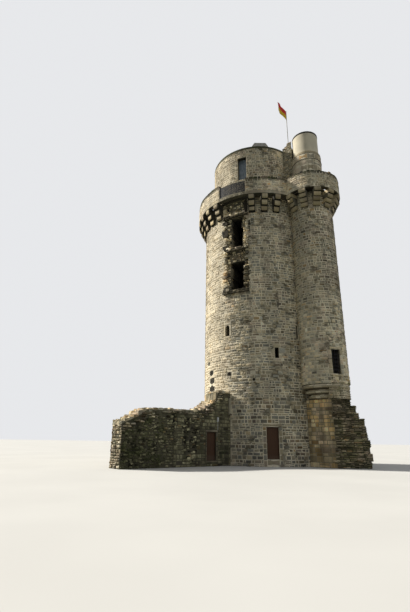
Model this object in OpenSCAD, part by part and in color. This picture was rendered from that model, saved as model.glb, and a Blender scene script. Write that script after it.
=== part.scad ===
// Round castle keep with a stair turret, a ring of corbels under each parapet,
// a ruined curtain wall with a door, and a torn curtain stub.
// Millimetres. The keep's axis is Z, the ground is z = 0 and the keep's door faces -Y.
// Azimuths are degrees about a vertical axis: 0 faces -Y and 90 faces +X.

/* [Keep] */
// Outer diameter of the main tower
keep_d = 9850; // [9000:50:11000]
// Wall thickness of the ground storey
ground_wall = 2100; // [1800:50:2400]
// Set-back of the inner face at each storey, which carries the floor
set_back = 150; // [100:10:200]
// Height of the ground storey's wall
ground_h = 6000; // [5400:50:6600]
// Height of the first storey's wall
first_h = 6300; // [5800:50:6800]
// Height of the second storey's wall
second_h = 4500; // [4100:50:5000]
// Height of the third storey's wall
third_h = 5200; // [4900:50:5600]
// Thickness of the floors
floor_t = 300; // [200:10:400]
// Height of the ground floor above the ground
ground_floor_h = 450; // [300:10:500]

/* [Keep windows] */
// Width of the first storey's slit window
slit_w = 320; // [200:10:400]
// Height of the first storey's slit window
slit_h = 820; // [600:10:1000]
// Sill of the slit window above the first storey's wall foot
slit_sill = 1750; // [1200:10:2200]
// Azimuth of the slit window
slit_az = 6.5; // [2:0.5:12]
// Width of the first storey's round-headed window
arch_w = 390; // [300:10:500]
// Height of the round-headed window
arch_h = 900; // [700:10:1100]
// Sill of the round-headed window above the first storey's wall foot
arch_sill = 3700; // [3000:10:4300]
// Azimuth of the round-headed window
arch_az = -40; // [-50:0.5:-34]
// Width of the first storey's slit beside the turret
corner_slit_w = 180; // [120:10:220]
// Height of the slit beside the turret
corner_slit_h = 1100; // [900:10:1300]
// Sill of the slit beside the turret above the first storey's wall foot
corner_slit_sill = 3400; // [3000:10:3800]
// Azimuth of the slit beside the turret
corner_slit_az = 28.2; // [24:0.2:28.4]
// Width of the second storey's broken window
low_gap_w = 1050; // [800:10:1200]
// Height of the second storey's broken window
low_gap_h = 2600; // [2200:10:2800]
// Sill of that window above the second storey's wall foot
low_gap_sill = 1200; // [800:10:1400]
// Width of the third storey's broken window
high_gap_w = 860; // [700:10:1000]
// Height of the third storey's broken window
high_gap_h = 2950; // [2600:10:3200]
// Sill of that window above the third storey's wall foot
high_gap_sill = 550; // [400:10:700]
// Azimuth of the two broken windows
gap_az = -28.8; // [-32:0.2:-26]
// Width of the third storey's small slit
small_slit_w = 170; // [120:10:220]
// Height of the third storey's small slit
small_slit_h = 800; // [600:10:900]
// Sill of the small slit above the third storey's wall foot
small_slit_sill = 1800; // [1400:10:2200]
// Azimuth of the small slit
small_slit_az = -15.4; // [-17:0.2:-13]
// Side of the square holes that the scaffold's beams left in the wall
putlog_w = 130; // [90:5:160]
// Depth of those holes
putlog_d = 350; // [200:10:500]

/* [Doors] */
// Clear width of the keep's door opening
door_w = 890; // [800:10:1000]
// Clear height of the keep's door opening
door_h = 2200; // [2000:10:2400]
// Offset of the keep's door from the keep's axis
door_x = -25; // [-100:5:100]
// Clear width of the curtain wall's door opening
side_door_w = 830; // [750:10:950]
// Clear height of the curtain wall's door opening
side_door_h = 1920; // [1800:10:2050]
// Sill of the curtain wall's door above the ground
side_sill = 360; // [250:10:400]
// Depth of both doors behind the wall's face
door_recess = 120; // [80:5:180]
// Thickness of both door leaves
leaf_t = 55; // [40:1:70]
// Width of the frame's jambs
frame_w = 45; // [35:1:60]
// Depth of the frame
frame_d = 80; // [70:1:110]
// Clearance round each leaf
leaf_gap = 8; // [6:1:12]
// Radius of the hinge pins
pin_r = 9; // [7:0.5:12]
// Height of the stone surround above the keep's door head
surround_head = 240; // [180:10:300]
// Width of the stone jambs beside the keep's door
surround_w = 260; // [180:10:300]
// Depth of the stone surround into the wall
surround_d = 500; // [350:10:600]

/* [Machicolation] */
// Corbels in a full ring round the keep
corbels_round = 30; // [26:1:34]
// Width of a corbel
corbel_w = 580; // [450:10:640]
// Courses in a corbel
corbel_courses = 3; // [2:1:4]
// Height of a corbel course
corbel_rise = 480; // [400:10:520]
// Projection of each corbel course beyond the one below
corbel_step = 250; // [200:5:280]
// Thickness of the parapet on the corbels
parapet_wall = 400; // [300:10:450]
// Height of the parapet above the corbels
parapet_h = 1500; // [1300:10:1800]
// Height of the lintel course under the parapet
lintel_h = 280; // [200:10:350]
// Projection of the lintel course beyond the parapet
lintel_lip = 30; // [20:5:60]
// Left edge of the torn strip, as an azimuth
scar_left = -43; // [-46:0.5:-42]
// Right edge of the torn strip, as an azimuth
scar_right = -17; // [-18:0.5:-17]
// Depth of the torn strip in the wall's face
scar_depth = 170; // [100:10:220]
// Projection of the broken ledges in the torn strip
ledge_proud = 210; // [120:10:260]
// Thickness of the broken ledges
ledge_t = 250; // [180:10:300]
// Height of the railing in the parapet's gap
railing_h = 1150; // [1000:10:1300]

// Broken bond stones beside the lower window
tooth_count = 4; // [3:1:5]
// Rise from one bond stone to the next
tooth_pitch = 500; // [420:10:560]
// Width of a bond stone, as an azimuth
tooth_az = 4; // [3:0.5:5]

/* [Upper drum] */
// Distance of the drum's face inside the keep's face
drum_inset = 785; // [650:5:900]
// Wall thickness of the upper drum
drum_wall = 650; // [500:10:800]
// Height of the drum's wall above the walk
drum_h = 5750; // [5400:50:6200]
// Height of the drum's floor above the walk
drum_floor_h = 2450; // [2000:50:2600]
// Width of the drum's doorway
drum_door_w = 850; // [700:10:1000]
// Height of the drum's doorway
drum_door_h = 2450; // [2200:10:2700]
// Depth of the glazed door behind the drum's face
drum_door_in = 400; // [300:10:500]
// Azimuth of the drum's doorway
drum_door_az = -24.6; // [-28:0.2:-20]
// Thickness of the coping slabs
coping_t = 180; // [120:10:220]
// Projection of the coping slabs
coping_lip = 40; // [20:5:80]
// Width of the low hatch on the roof
hatch_w = 2150; // [1400:50:2400]
// Height of the hatch
hatch_h = 900; // [600:50:1100]
// Depth of the hatch from front to back
hatch_d = 700; // [500:50:1000]
// Distance of the hatch's front from the drum's face
hatch_in = 550; // [450:10:800]
// Offset of the hatch from the keep's axis
hatch_x = 100; // [0:10:250]

/* [Stair turret] */
// Outer diameter of the turret
turret_d = 3580; // [3400:20:3800]
// Wall thickness of the turret
turret_wall = 420; // [350:10:500]
// Azimuth of the turret about the keep's axis
turret_az = 45.6; // [42:0.2:50]
// Distance of the turret's axis outside the keep's wall face
turret_out = 1045; // [950:5:1150]
// Height of the turret's foot above the ground
turret_foot = 5750; // [5500:10:5900]
// Height of one moulded ring under the turret
ring_h = 350; // [300:10:400]
// Moulded rings under the turret
ring_count = 3; // [2:1:4]
// Projection of each moulded ring beyond the one below
ring_step = 240; // [180:5:260]
// Azimuth about the turret's axis where the moulded rings end and torn stone begins
ring_end_az = -8; // [-20:1:10]
// Width of the turret's window
grille_w = 700; // [500:10:800]
// Height of the turret's window
grille_h = 1800; // [1500:10:2000]
// Sill of the window above the turret's foot
grille_sill = 700; // [500:10:1000]
// Azimuth of the window about the turret's axis
grille_az = 15.5; // [8:0.5:20]
// Corbels in a full ring round the turret
turret_corbels_round = 12; // [10:1:13]
// Courses in a turret corbel
turret_courses = 4; // [3:1:5]
// Height of a turret corbel course
turret_rise = 360; // [300:10:400]
// Projection of each turret corbel course
turret_step = 190; // [160:5:220]
// Thickness of the turret's parapet
turret_parapet_wall = 350; // [280:10:400]
// Outer diameter of the drum above the turret
cap_drum_d = 2600; // [2400:20:2800]
// Height of that drum above the walk
cap_drum_h = 4200; // [3900:20:4500]
// Outer diameter of the smooth cap
cap_d = 2290; // [2100:10:2350]
// Height of the smooth cap
cap_h = 2500; // [2300:20:2700]
// Wall thickness of the drum and the cap
cap_wall = 330; // [250:10:400]
// Width of the broken wall between the upper drum and the turret's drum
link_w = 1800; // [1400:20:2000]
// Height of the broken wall above the drum's roof, on the drum's side
link_low = 250; // [200:10:350]
// Height of the broken wall above the drum's roof, on the turret's side
link_high = 800; // [600:10:900]
// Steps in the top of the broken wall
link_steps = 4; // [3:1:6]

/* [Curtain walls] */
// Azimuth at which the curtain wall's face leaves the keep
curtain_az = -37.5; // [-42:0.5:-34]
// Turn of the curtain wall towards the front
curtain_turn = 37; // [32:0.5:42]
// Thickness of the curtain wall
curtain_t = 1400; // [1200:20:1600]
// Distance from the keep to the middle of the curtain wall's door
side_door_s = 1775; // [1650:5:1900]
// Length of the curtain wall
curtain_l = 8800; // [8000:50:9600]
// Height of the curtain wall beside the keep
curtain_h_near = 5150; // [4800:10:5400]
// Height of the curtain wall along its length
curtain_h_far = 3600; // [3400:10:3900]
// Height of the curtain wall at its broken end
curtain_h_end = 2650; // [2300:10:2900]
// Width of the deep slot between the curtain wall's face and the keep
corner_slot_w = 170; // [120:10:220]
// Height of that slot
corner_slot_h = 1250; // [1000:10:1400]
// Foot of that slot above the ground
corner_slot_z = 3550; // [3300:10:3600]
// Depth of that slot
corner_slot_d = 450; // [300:10:600]
// Thickness of the torn stub of wall under the turret
stub_t = 2000; // [1800:20:2200]
// Length of the stub's smooth face beside the keep's door
stub_face_l = 1980; // [1700:20:2200]
// Length of the stub on its far side at the ground
stub_l = 3550; // [3300:10:3800]
// Length of the stub on its far side at its top
stub_top_l = 2430; // [2300:10:2550]
// Broken layers in the stub
stub_layers = 10; // [8:1:12]
// Depth of the breaks in the stub's torn end
stub_jag = 170; // [100:10:220]

/* [Flag] */
// Length of the flagpole, with its foot in the socket
pole_h = 4950; // [4600:50:5300]
// Depth of the socket for the flagpole in the broken wall
pole_socket = 300; // [200:10:400]
// Distance of the flagpole outside the upper drum's face
pole_out = 370; // [320:10:420]
// Distance of the flagpole from the line between the two towers' axes
pole_side = -530; // [-650:10:-300]
// Radius of the flagpole
pole_r = 35; // [25:1:45]
// Length of the flag
flag_l = 1650; // [1400:10:1900]
// Height of the flag
flag_h = 1100; // [900:10:1200]
// Thickness of the flag's solid
flag_t = 16; // [10:1:20]
// Direction in which the flag flies
flag_turn = 228; // [200:1:260]

/* [Hidden] */
$fn = 360;
// Sides of a small round moulding in the preview
small_fn = 48;

// Mortar bed between faces that meet
bed = 0.5;
// Mortar joint at each end of a wall segment, as an angle
joint_az = 0.004;
// Overrun of a cut past the face that it leaves
cut = 60;
// Half the azimuth of the ground storey's two front segments
ground_az = 100;
// Azimuths of the joints between the front and back segments above
seam_left = -75;
seam_right = 45;

keep_r = keep_d / 2;
ground_ri = keep_r - ground_wall;
first_ri = ground_ri + set_back;
second_ri = first_ri + set_back;
third_ri = second_ri + set_back;
z_first = ground_h;
z_second = z_first + first_h;
z_third = z_second + second_h;
z_walk = z_third + third_h;
walk_top = z_walk + floor_t;

parapet_r = keep_r + corbel_courses * corbel_step;
parapet_ri = parapet_r - parapet_wall;
parapet_top = z_walk + parapet_h;
corbel_pitch = 360 / corbels_round;

drum_r = keep_r - drum_inset;
drum_ri = drum_r - drum_wall;
drum_top = walk_top + drum_h;
drum_sill = walk_top + drum_floor_h;

turret_r = turret_d / 2;
turret_ri = turret_r - turret_wall;
turret_reach = keep_r + turret_out;
turret_x = turret_reach * sin(turret_az);
turret_y = -turret_reach * cos(turret_az);
turret_parapet_r = turret_r + turret_courses * turret_step;
turret_pitch = 360 / turret_corbels_round;
ring_r = turret_r - ring_count * ring_step;
stub_top = turret_foot - ring_count * ring_h;
cap_drum_r = cap_drum_d / 2;
cap_base = walk_top + cap_drum_h;

curtain_x = keep_r * sin(curtain_az);
curtain_y = -keep_r * cos(curtain_az);

door_sill = ground_floor_h + 50;
keep_door_face = sqrt(keep_r * keep_r - pow(abs(door_x) + door_w / 2, 2));

// Angle at a tower's axis between the turret's axis and where a circle of radius a
// about the tower's axis meets a circle of radius b about the turret's axis
function meet_az(a, b) =
    acos((turret_reach * turret_reach + a * a - b * b) / (2 * turret_reach * a));

// Sector of a ring between two azimuths
module ring(r_in, r_out, z_low, z_high, az_from = 0, az_to = 360) {
    translate([0, 0, z_low])
        rotate([0, 0, az_from - 90])
            rotate_extrude(angle = az_to - az_from)
                translate([r_in, 0])
                    square([r_out - r_in, z_high - z_low]);
}

// Turns a child that faces -Y to an azimuth
module at_az(az) {
    rotate([0, 0, az])
        children();
}

module at_turret() {
    translate([turret_x, turret_y, 0])
        children();
}

// Straight opening through a round wall, with an optional splay inwards
module window_cut(az, r_out, r_in, w, h, sill, splay = 1) {
    at_az(az)
        translate([0, 0, sill])
            linear_extrude(h)
                polygon([[-w / 2, -r_out - cut], [w / 2, -r_out - cut],
                    [w / 2 * splay, -r_in * 0.9 + cut], [-w / 2 * splay, -r_in * 0.9 + cut]]);
}

// Opening with a round head
module arch_cut(az, r_out, r_in, w, h, sill) {
    window_cut(az, r_out, r_in, w, h - w / 2, sill);
    at_az(az)
        translate([0, -r_in * 0.9 + cut, sill + h - w / 2])
            rotate([90, 0, 0])
                cylinder(d = w, h = r_out + 2 * cut - r_in * 0.9);
}

// Outline of a broken window: ragged sides about a mean width, and a broken head
function jag(i, depth) = depth * (sin(i * 137.5) + sin(i * 61.3)) / 2;

module broken_cut(az, r_out, r_in, w, h, sill, seed) {
    steps = 6;
    rise = h / steps;
    at_az(az)
        translate([0, -r_in * 0.9 + cut, sill])
            rotate([90, 0, 0])
                linear_extrude(r_out + 2 * cut - r_in * 0.9)
                    union() {
                        for (i = [0 : steps - 1])
                            translate([-w / 2 - jag(i + seed, w / 9) - w / 14, i * rise])
                                square([w + w / 7 + jag(i + seed, w / 9) + jag(i + seed + 7, w / 9),
                                    rise + (i < steps - 1 ? 1 : 0)]);
                    }
}

// Putlog holes of the main tower, as azimuth and height
putlogs = [[-14.7, z_first + 120], [-38.1, z_first + 640], [-69.6, z_first + 1800],
    [-63.5, z_first + 970], [-62.4, z_first + 310], [-62.3, z_first - 340]];

// The putlog holes between two heights
module putlog_cuts(z_low, z_high) {
    for (hole = putlogs)
        if (hole[1] > z_low && hole[1] < z_high)
            at_az(hole[0])
                translate([-putlog_w / 2, -keep_r - cut, hole[1] - putlog_w / 2])
                    cube([putlog_w, putlog_d + cut, putlog_w]);
}

// Segment of a wall between two mortar joints, on a mortar bed
module wall_segment(r_in, r_out, z_low, z_high, az_from, az_to) {
    ring(r_in, r_out, z_low + bed, z_high, az_from + joint_az, az_to - joint_az);
}

// Wall strip beside the keep's door, from the face to the room
module door_slot(w, z_low, z_high) {
    translate([door_x - w / 2, -keep_r - cut, z_low])
        cube([w, ground_wall + 2 * cut + keep_r - ground_ri, z_high - z_low]);
}

module ground_floor() {
    color("darkgray")
        union() {
            cylinder(r = ground_ri - bed, h = ground_floor_h);
            intersection() {
                door_slot(door_w + 2 * surround_w - 2 * bed, 0, ground_floor_h);
                cylinder(r = keep_r - surround_d - bed, h = ground_floor_h);
            }
        }
}

module ground_wall(az_from, az_to) {
    color("tan")
        difference() {
            ring(ground_ri, keep_r, 0, ground_h, az_from + joint_az, az_to - joint_az);
            door_slot(door_w + 2 * surround_w, -cut, ground_h + cut);
            putlog_cuts(0, ground_h);
        }
}

module ground_wall_left() {
    ground_wall(-ground_az, 0);
}

module ground_wall_right() {
    ground_wall(0, ground_az);
}

module ground_wall_back() {
    ground_wall(ground_az, 360 - ground_az);
}

// Azimuth past the door's surround on both sides
door_az = 30;

module ground_wall_over_door() {
    head = door_sill + door_h + surround_head;
    color("tan")
        intersection() {
            ring(ground_ri, keep_r, head + bed, ground_h, -door_az, door_az);
            door_slot(door_w + 2 * surround_w - 2 * bed, head, ground_h);
        }
}

module keep_door_surround() {
    head = door_sill + door_h;
    color("wheat")
        difference() {
            intersection() {
                ring(keep_r - surround_d, keep_r, 0, head + surround_head, -door_az, door_az);
                door_slot(door_w + 2 * surround_w - 2 * bed, 0, head + surround_head);
            }
            door_slot(door_w, door_sill, head);
        }
}

// Radius of the hinge barrels, and how far the hinge axis stands behind the frame
barrel_r = pin_r + 6;
hinge_y = frame_d + barrel_r + leaf_gap;

function hinge_x(w) = -w / 2 + frame_w + leaf_gap / 2;
function hinge_levels(h) = [h * 0.16, h * 0.8];

// Frame in a stone opening: jambs, head and hinge pins. The frame's outer face is y = 0.
module door_frame(w, h) {
    arm_h = 40;
    pin_h = 90;
    difference() {
        translate([-w / 2 + bed, 0, bed])
            cube([w - 2 * bed, frame_d, h - 2 * bed]);
        translate([-w / 2 + frame_w, -cut, -cut])
            cube([w - 2 * frame_w, frame_d + 2 * cut, h - frame_w + cut]);
    }
    for (z = hinge_levels(h)) {
        translate([hinge_x(w) - pin_r - frame_w / 2, frame_d, z - arm_h])
            cube([frame_w / 2 + pin_r, hinge_y - frame_d, arm_h]);
        translate([hinge_x(w), hinge_y, z - arm_h])
            cylinder(r = barrel_r, h = arm_h);
        translate([hinge_x(w), hinge_y, z])
            cylinder(r = pin_r, h = pin_h);
    }
}

// Leaf flush with the frame's inner face, with strap hinges that turn on the pins
module door_leaf(w, h) {
    leaf_w = w - 2 * frame_w - 2 * leaf_gap;
    strap_h = 80;
    strap_t = 8;
    pin_play = 0.5;
    translate([-leaf_w / 2, frame_d - leaf_t, leaf_gap])
        cube([leaf_w, leaf_t, h - frame_w - 2 * leaf_gap]);
    for (z = hinge_levels(h))
        difference() {
            union() {
                translate([hinge_x(w), hinge_y, z + bed])
                    cylinder(r = barrel_r, h = strap_h);
                translate([-leaf_w / 2, frame_d, z + bed])
                    cube([leaf_w * 0.8, strap_t, strap_h]);
                translate([-leaf_w / 2, frame_d, z + bed])
                    cube([pin_r, hinge_y - frame_d, strap_h]);
            }
            translate([hinge_x(w), hinge_y, z - cut])
                cylinder(r = pin_r + pin_play, h = strap_h + 2 * cut);
        }
}

module at_keep_door() {
    translate([door_x, -keep_door_face + door_recess, door_sill])
        children();
}

module keep_door_frame() {
    color("saddlebrown")
        at_keep_door()
            door_frame(door_w, door_h);
}

module keep_door_leaf() {
    color("sienna")
        at_keep_door()
            door_leaf(door_w, door_h);
}

module storey_floor(z, r) {
    color("darkgray")
        translate([0, 0, z + bed])
            cylinder(r = r - bed, h = floor_t);
}

module first_floor() {
    storey_floor(z_first, first_ri);
}

module second_floor() {
    storey_floor(z_second, second_ri);
}

module third_floor() {
    storey_floor(z_third, third_ri);
}

// Broken ledge in the torn strip, with its top at a height and its ends in the wall
module ledge(az_from, az_to, z_top) {
    end_az = 0.6;
    ring(keep_r - 2 * scar_depth, keep_r + ledge_proud, z_top - ledge_t, z_top,
        az_from - end_az, az_to + end_az);
}

// Set-back of the torn strip between two heights
module scar_cut(z_low, z_high) {
    ring(keep_r - scar_depth, keep_r + cut, z_low, z_high, scar_left, scar_right);
}

module first_wall_front() {
    color("tan")
        difference() {
            wall_segment(first_ri, keep_r, z_first, z_second, seam_left, seam_right);
            window_cut(slit_az, keep_r, first_ri, slit_w, slit_h, z_first + slit_sill, 2);
            arch_cut(arch_az, keep_r, first_ri, arch_w, arch_h, z_first + arch_sill);
            window_cut(corner_slit_az, keep_r, first_ri, corner_slit_w, corner_slit_h,
                z_first + corner_slit_sill);
            putlog_cuts(z_first, z_second);
        }
}

module first_wall_back() {
    color("tan")
        wall_segment(first_ri, keep_r, z_first, z_second, seam_right, 360 + seam_left);
}

low_sill = z_second + low_gap_sill;
high_sill = z_third + high_gap_sill;

module second_wall_front() {
    color("tan")
        difference() {
            union() {
                difference() {
                    wall_segment(second_ri, keep_r, z_second, z_third, seam_left, seam_right);
                    scar_cut(low_sill, z_third + cut);
                }
                ledge(scar_left, scar_right, low_sill);
                for (i = [1 : tooth_count])
                    ledge(scar_right - tooth_az, scar_right, low_sill + i * tooth_pitch);
            }
            broken_cut(gap_az, keep_r, second_ri, low_gap_w, low_gap_h, low_sill, 1);
        }
}

module second_wall_back() {
    color("tan")
        wall_segment(second_ri, keep_r, z_second, z_third, seam_right, 360 + seam_left);
}

module third_wall_front() {
    lintel_top = high_sill + high_gap_h + ledge_t + cut;
    color("tan")
        difference() {
            union() {
                difference() {
                    wall_segment(third_ri, keep_r, z_third, z_walk, seam_left, seam_right);
                    scar_cut(z_third - cut, z_walk + cut);
                }
                ledge(scar_left + tooth_az, scar_right, high_sill);
                ledge(scar_left, scar_right, lintel_top);
            }
            broken_cut(gap_az, keep_r, third_ri, high_gap_w, high_gap_h, high_sill, 4);
            window_cut(small_slit_az, keep_r, third_ri, small_slit_w, small_slit_h,
                z_third + small_slit_sill);
        }
}

module third_wall_back() {
    color("tan")
        wall_segment(third_ri, keep_r, z_third, z_walk, seam_right, 360 + seam_left);
}

module wall_walk() {
    color("darkgray")
        difference() {
            translate([0, 0, z_walk + bed])
                cylinder(r = keep_r, h = floor_t - bed);
            turret_core(turret_r, z_walk - cut, walk_top + cut);
        }
}

// Side view of a corbel: courses that step out, each with a quarter-round nose
module corbel_profile(base_r, courses, rise, step) {
    for (i = [1 : courses]) {
        nose = step * 0.9;
        top = (i - courses) * rise;
        translate([base_r - cut, top - rise])
            square([cut + i * step - nose, rise + (i < courses ? 1 : 0)]);
        translate([base_r + i * step - nose - 1, top - rise + nose])
            square([nose + 1, rise - nose]);
        translate([base_r + i * step - nose, top - rise + nose])
            circle(r = nose, $fn = small_fn);
    }
}

// Corbel with parallel sides, facing -Y, with its top at z = 0
module corbel(base_r, w, courses, rise, step) {
    translate([w / 2, 0, 0])
        rotate([90, 0, -90])
            linear_extrude(w)
                corbel_profile(base_r, courses, rise, step);
}

module keep_corbel(az) {
    difference() {
        at_az(az)
            translate([0, 0, z_walk - bed])
                corbel(keep_r, corbel_w, corbel_courses, corbel_rise, corbel_step);
        translate([0, 0, z_walk - corbel_courses * corbel_rise - cut])
            cylinder(r = keep_r + bed, h = corbel_courses * corbel_rise + 2 * cut);
    }
}

// Angle between two azimuths
function az_between(a, b) = abs((a - b + 540) % 360 - 180);

// Half the width of a corbel and half a gap, as an angle at the keep's axis
corbel_margin = corbel_pitch / 4;

function corbel_stands(az) =
    az_between(az, (scar_left + scar_right) / 2) > (scar_right - scar_left) / 2 + corbel_margin
    && az_between(az, turret_az) > meet_az(parapet_r, turret_parapet_r) + corbel_margin;

module keep_corbels() {
    color("tan")
        for (i = [0 : corbels_round - 1])
            if (corbel_stands(i * corbel_pitch))
                keep_corbel(i * corbel_pitch);
}

module keep_lintels() {
    color("wheat")
        difference() {
            ring(parapet_ri, parapet_r + lintel_lip, z_walk, z_walk + lintel_h);
            turret_core(turret_parapet_r + lintel_lip, z_walk - cut, z_walk + lintel_h + cut);
        }
}

module keep_parapet() {
    color("tan")
        difference() {
            ring(parapet_ri, parapet_r, z_walk + lintel_h + bed, parapet_top,
                scar_right, 360 + scar_left);
            turret_core(turret_parapet_r, z_walk + lintel_h - cut, parapet_top + cut);
        }
}

// Bar railing on the lintels, in the gap of the parapet
module parapet_railing() {
    bar = 30;
    bars = 16;
    low_rail = 80;
    rail_r = parapet_r - 60;
    foot = z_walk + lintel_h + bed;
    end = 0.2;
    span = scar_right - scar_left;
    color("dimgray") {
        for (z = [foot + low_rail, foot + railing_h - bar])
            ring(rail_r - bar, rail_r, z, z + bar, scar_left, scar_right);
        for (i = [0 : bars])
            at_az(scar_left + end + i * (span - 2 * end) / bars)
                translate([-bar / 2, -rail_r, foot])
                    cube([bar, bar, railing_h]);
    }
}

module drum_ring(az_from, az_to) {
    difference() {
        wall_segment(drum_ri, drum_r, walk_top, drum_top, az_from, az_to);
        window_cut(drum_door_az, drum_r, drum_ri, drum_door_w, drum_door_h, drum_sill);
    }
}

module upper_drum_front() {
    color("tan")
        drum_ring(seam_left, seam_right);
}

module upper_drum_back() {
    color("tan")
        drum_ring(seam_right, 360 + seam_left);
}

module drum_floor() {
    color("darkgray")
        translate([0, 0, drum_sill - floor_t])
            cylinder(r = drum_ri - bed, h = floor_t);
}

// Fixed glazed door in the drum's doorway
module drum_door() {
    sash = 60;
    glass_t = 12;
    w = drum_door_w - 2 * bed;
    h = drum_door_h - 2 * bed;
    color("slategray")
        at_az(drum_door_az)
            translate([-w / 2, -drum_r + drum_door_in, drum_sill + bed])
                difference() {
                    cube([w, sash, h]);
                    for (side = [0, 1])
                        translate([sash + side * (w - sash) / 2, -cut, sash])
                            cube([(w - 3 * sash) / 2, cut + (sash - glass_t) / 2,
                                h - 2 * sash]);
                    for (side = [0, 1])
                        translate([sash + side * (w - sash) / 2, (sash + glass_t) / 2, sash])
                            cube([(w - 3 * sash) / 2, cut + sash, h - 2 * sash]);
                }
}

module drum_roof() {
    color("gray")
        translate([0, 0, drum_top + bed])
            cylinder(r = drum_ri + set_back, h = coping_t - bed);
}

module drum_coping() {
    color("dimgray")
        ring(drum_ri + set_back + bed, drum_r + coping_lip, drum_top + bed, drum_top + coping_t);
}

module roof_hatch() {
    slope = hatch_w * 0.25;
    color("lightgray")
        translate([hatch_x, -drum_r + hatch_in + hatch_d, drum_top + coping_t + bed])
            rotate([90, 0, 0])
                linear_extrude(hatch_d)
                    polygon([[-hatch_w / 2, 0], [hatch_w / 2, 0],
                        [hatch_w / 2 - slope, hatch_h], [-hatch_w / 2 + slope, hatch_h]]);
}

link_from = drum_r * cos(asin(link_w / 2 / drum_r));
link_to = turret_reach - cap_drum_r * cos(asin(link_w / 2 / cap_drum_r));
link_step = (link_to - link_from) / link_steps;

// Top of one step of the broken wall between the drums
function link_top(i) = drum_top + link_low + i * (link_high - link_low) / (link_steps - 1);

pole_reach = drum_r + pole_out;
pole_x = pole_reach * sin(turret_az) + pole_side * cos(turret_az);
pole_y = -pole_reach * cos(turret_az) + pole_side * sin(turret_az);
pole_foot = link_top(floor((pole_reach - link_from) / link_step)) - pole_socket;

// Broken wall between the upper drum and the drum over the turret, with the pole's socket
module link_wall() {
    color("tan")
        difference() {
            at_az(turret_az)
                translate([link_w / 2, -turret_reach, 0])
                    rotate([0, -90, 0])
                        linear_extrude(link_w)
                            union()
                                for (i = [0 : link_steps - 1])
                                    translate([walk_top + bed, 0])
                                        square([link_top(i) - walk_top - bed,
                                            turret_reach - link_from - i * link_step]);
            translate([0, 0, walk_top - cut])
                cylinder(r = drum_r + bed, h = drum_h + 2 * cut);
            translate([0, 0, drum_top])
                cylinder(r = drum_r + coping_lip + bed, h = link_high + cut);
            turret_core(cap_drum_r, walk_top - cut, cap_base + cap_h + cut);
            translate([pole_x, pole_y, pole_foot - bed])
                cylinder(r = pole_r + bed, h = pole_h);
        }
}

// The keep's outer face, as the shape that is cut from what stands against it
module keep_core(z_low, z_high) {
    translate([0, 0, z_low])
        cylinder(r = keep_r + bed, h = z_high - z_low);
}

// A circle about the turret's axis, as the shape that is cut from what stands against it
module turret_core(r, z_low, z_high) {
    at_turret()
        translate([0, 0, z_low])
            cylinder(r = r + bed, h = z_high - z_low);
}

// Moulded rings that carry the turret out from the curtain stub
function ring_bead(i, bead, steps) = [for (k = [0 : steps])
    [ring_r + (i + 1) * ring_step - bead + bead * cos(-90 + 180 * k / steps),
        stub_top + (i + 0.5) * ring_h + bead * sin(-90 + 180 * k / steps)]];

module turret_base() {
    bead = ring_h * 0.44;
    torn_in = 60;
    torn_core = 200;
    color("tan")
        difference() {
            at_turret() {
                rotate_extrude()
                    polygon(concat([[0, stub_top + bed], [ring_r, stub_top + bed]],
                        [for (i = [0 : ring_count - 1]) each ring_bead(i, bead, 8)],
                        [[turret_r - bead, turret_foot], [0, turret_foot]]));
                ring(torn_core, turret_r - torn_in, stub_top + bed, turret_foot - bed,
                    ring_end_az, turret_az + 210);
            }
            keep_core(stub_top - cut, turret_foot + cut);
        }
}

turret_split = z_second;

module turret_shell(z_low, z_high) {
    at_turret()
        ring(turret_ri, turret_r, z_low + bed, z_high);
}

module turret_wall_lower() {
    color("tan")
        difference() {
            turret_shell(turret_foot, turret_split);
            keep_core(turret_foot - cut, turret_split + cut);
            at_turret()
                window_cut(grille_az, turret_r, turret_ri, grille_w, grille_h,
                    turret_foot + grille_sill);
        }
}

module turret_wall_upper() {
    color("tan")
        difference() {
            turret_shell(turret_split, z_walk);
            keep_core(turret_split - cut, z_walk + cut);
        }
}

module turret_grille() {
    bar = 24;
    bars_up = 4;
    bars_across = 6;
    depth = 160;
    w = grille_w - 2 * bed;
    h = grille_h - 2 * bed;
    color("dimgray")
        at_turret()
            at_az(grille_az)
                translate([-w / 2, -turret_r + depth, turret_foot + grille_sill + bed])
                    union() {
                        for (i = [0 : bars_up])
                            translate([i * (w - bar) / bars_up, 0, 0])
                                cube([bar, bar, h]);
                        for (i = [0 : bars_across])
                            translate([0, 0, i * (h - bar) / bars_across])
                                cube([w, bar, bar]);
                    }
}

// The turret's corbels stand where its parapet is outside the keep's
function turret_corbel_stands(az) =
    az_between(az, turret_az) < 180 - asin(sin(meet_az(parapet_r, turret_parapet_r))
        * parapet_r / turret_parapet_r);

module turret_corbels() {
    color("tan")
        for (i = [0 : turret_corbels_round - 1])
            if (turret_corbel_stands(i * turret_pitch))
                difference() {
                    at_turret()
                        at_az(i * turret_pitch)
                            translate([0, 0, z_walk - bed])
                                corbel(turret_r, corbel_w, turret_courses, turret_rise, turret_step);
                    turret_core(turret_r, turret_foot, z_walk + cut);
                    keep_core(turret_foot, walk_top);
                }
}

// Parapet on the turret's corbels, with a lip at its lintel course
module turret_parapet() {
    color("tan")
        difference() {
            at_turret()
                rotate_extrude()
                    polygon([[turret_parapet_r - turret_parapet_wall, z_walk],
                        [turret_parapet_r + lintel_lip, z_walk],
                        [turret_parapet_r + lintel_lip, z_walk + lintel_h],
                        [turret_parapet_r, z_walk + lintel_h],
                        [turret_parapet_r, parapet_top],
                        [turret_parapet_r - turret_parapet_wall, parapet_top]]);
            translate([0, 0, z_walk - cut])
                cylinder(r = parapet_ri, h = parapet_h + 2 * cut);
        }
}

module turret_walk() {
    color("darkgray")
        at_turret()
            translate([0, 0, z_walk + bed])
                cylinder(r = turret_r, h = floor_t - bed);
}

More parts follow.
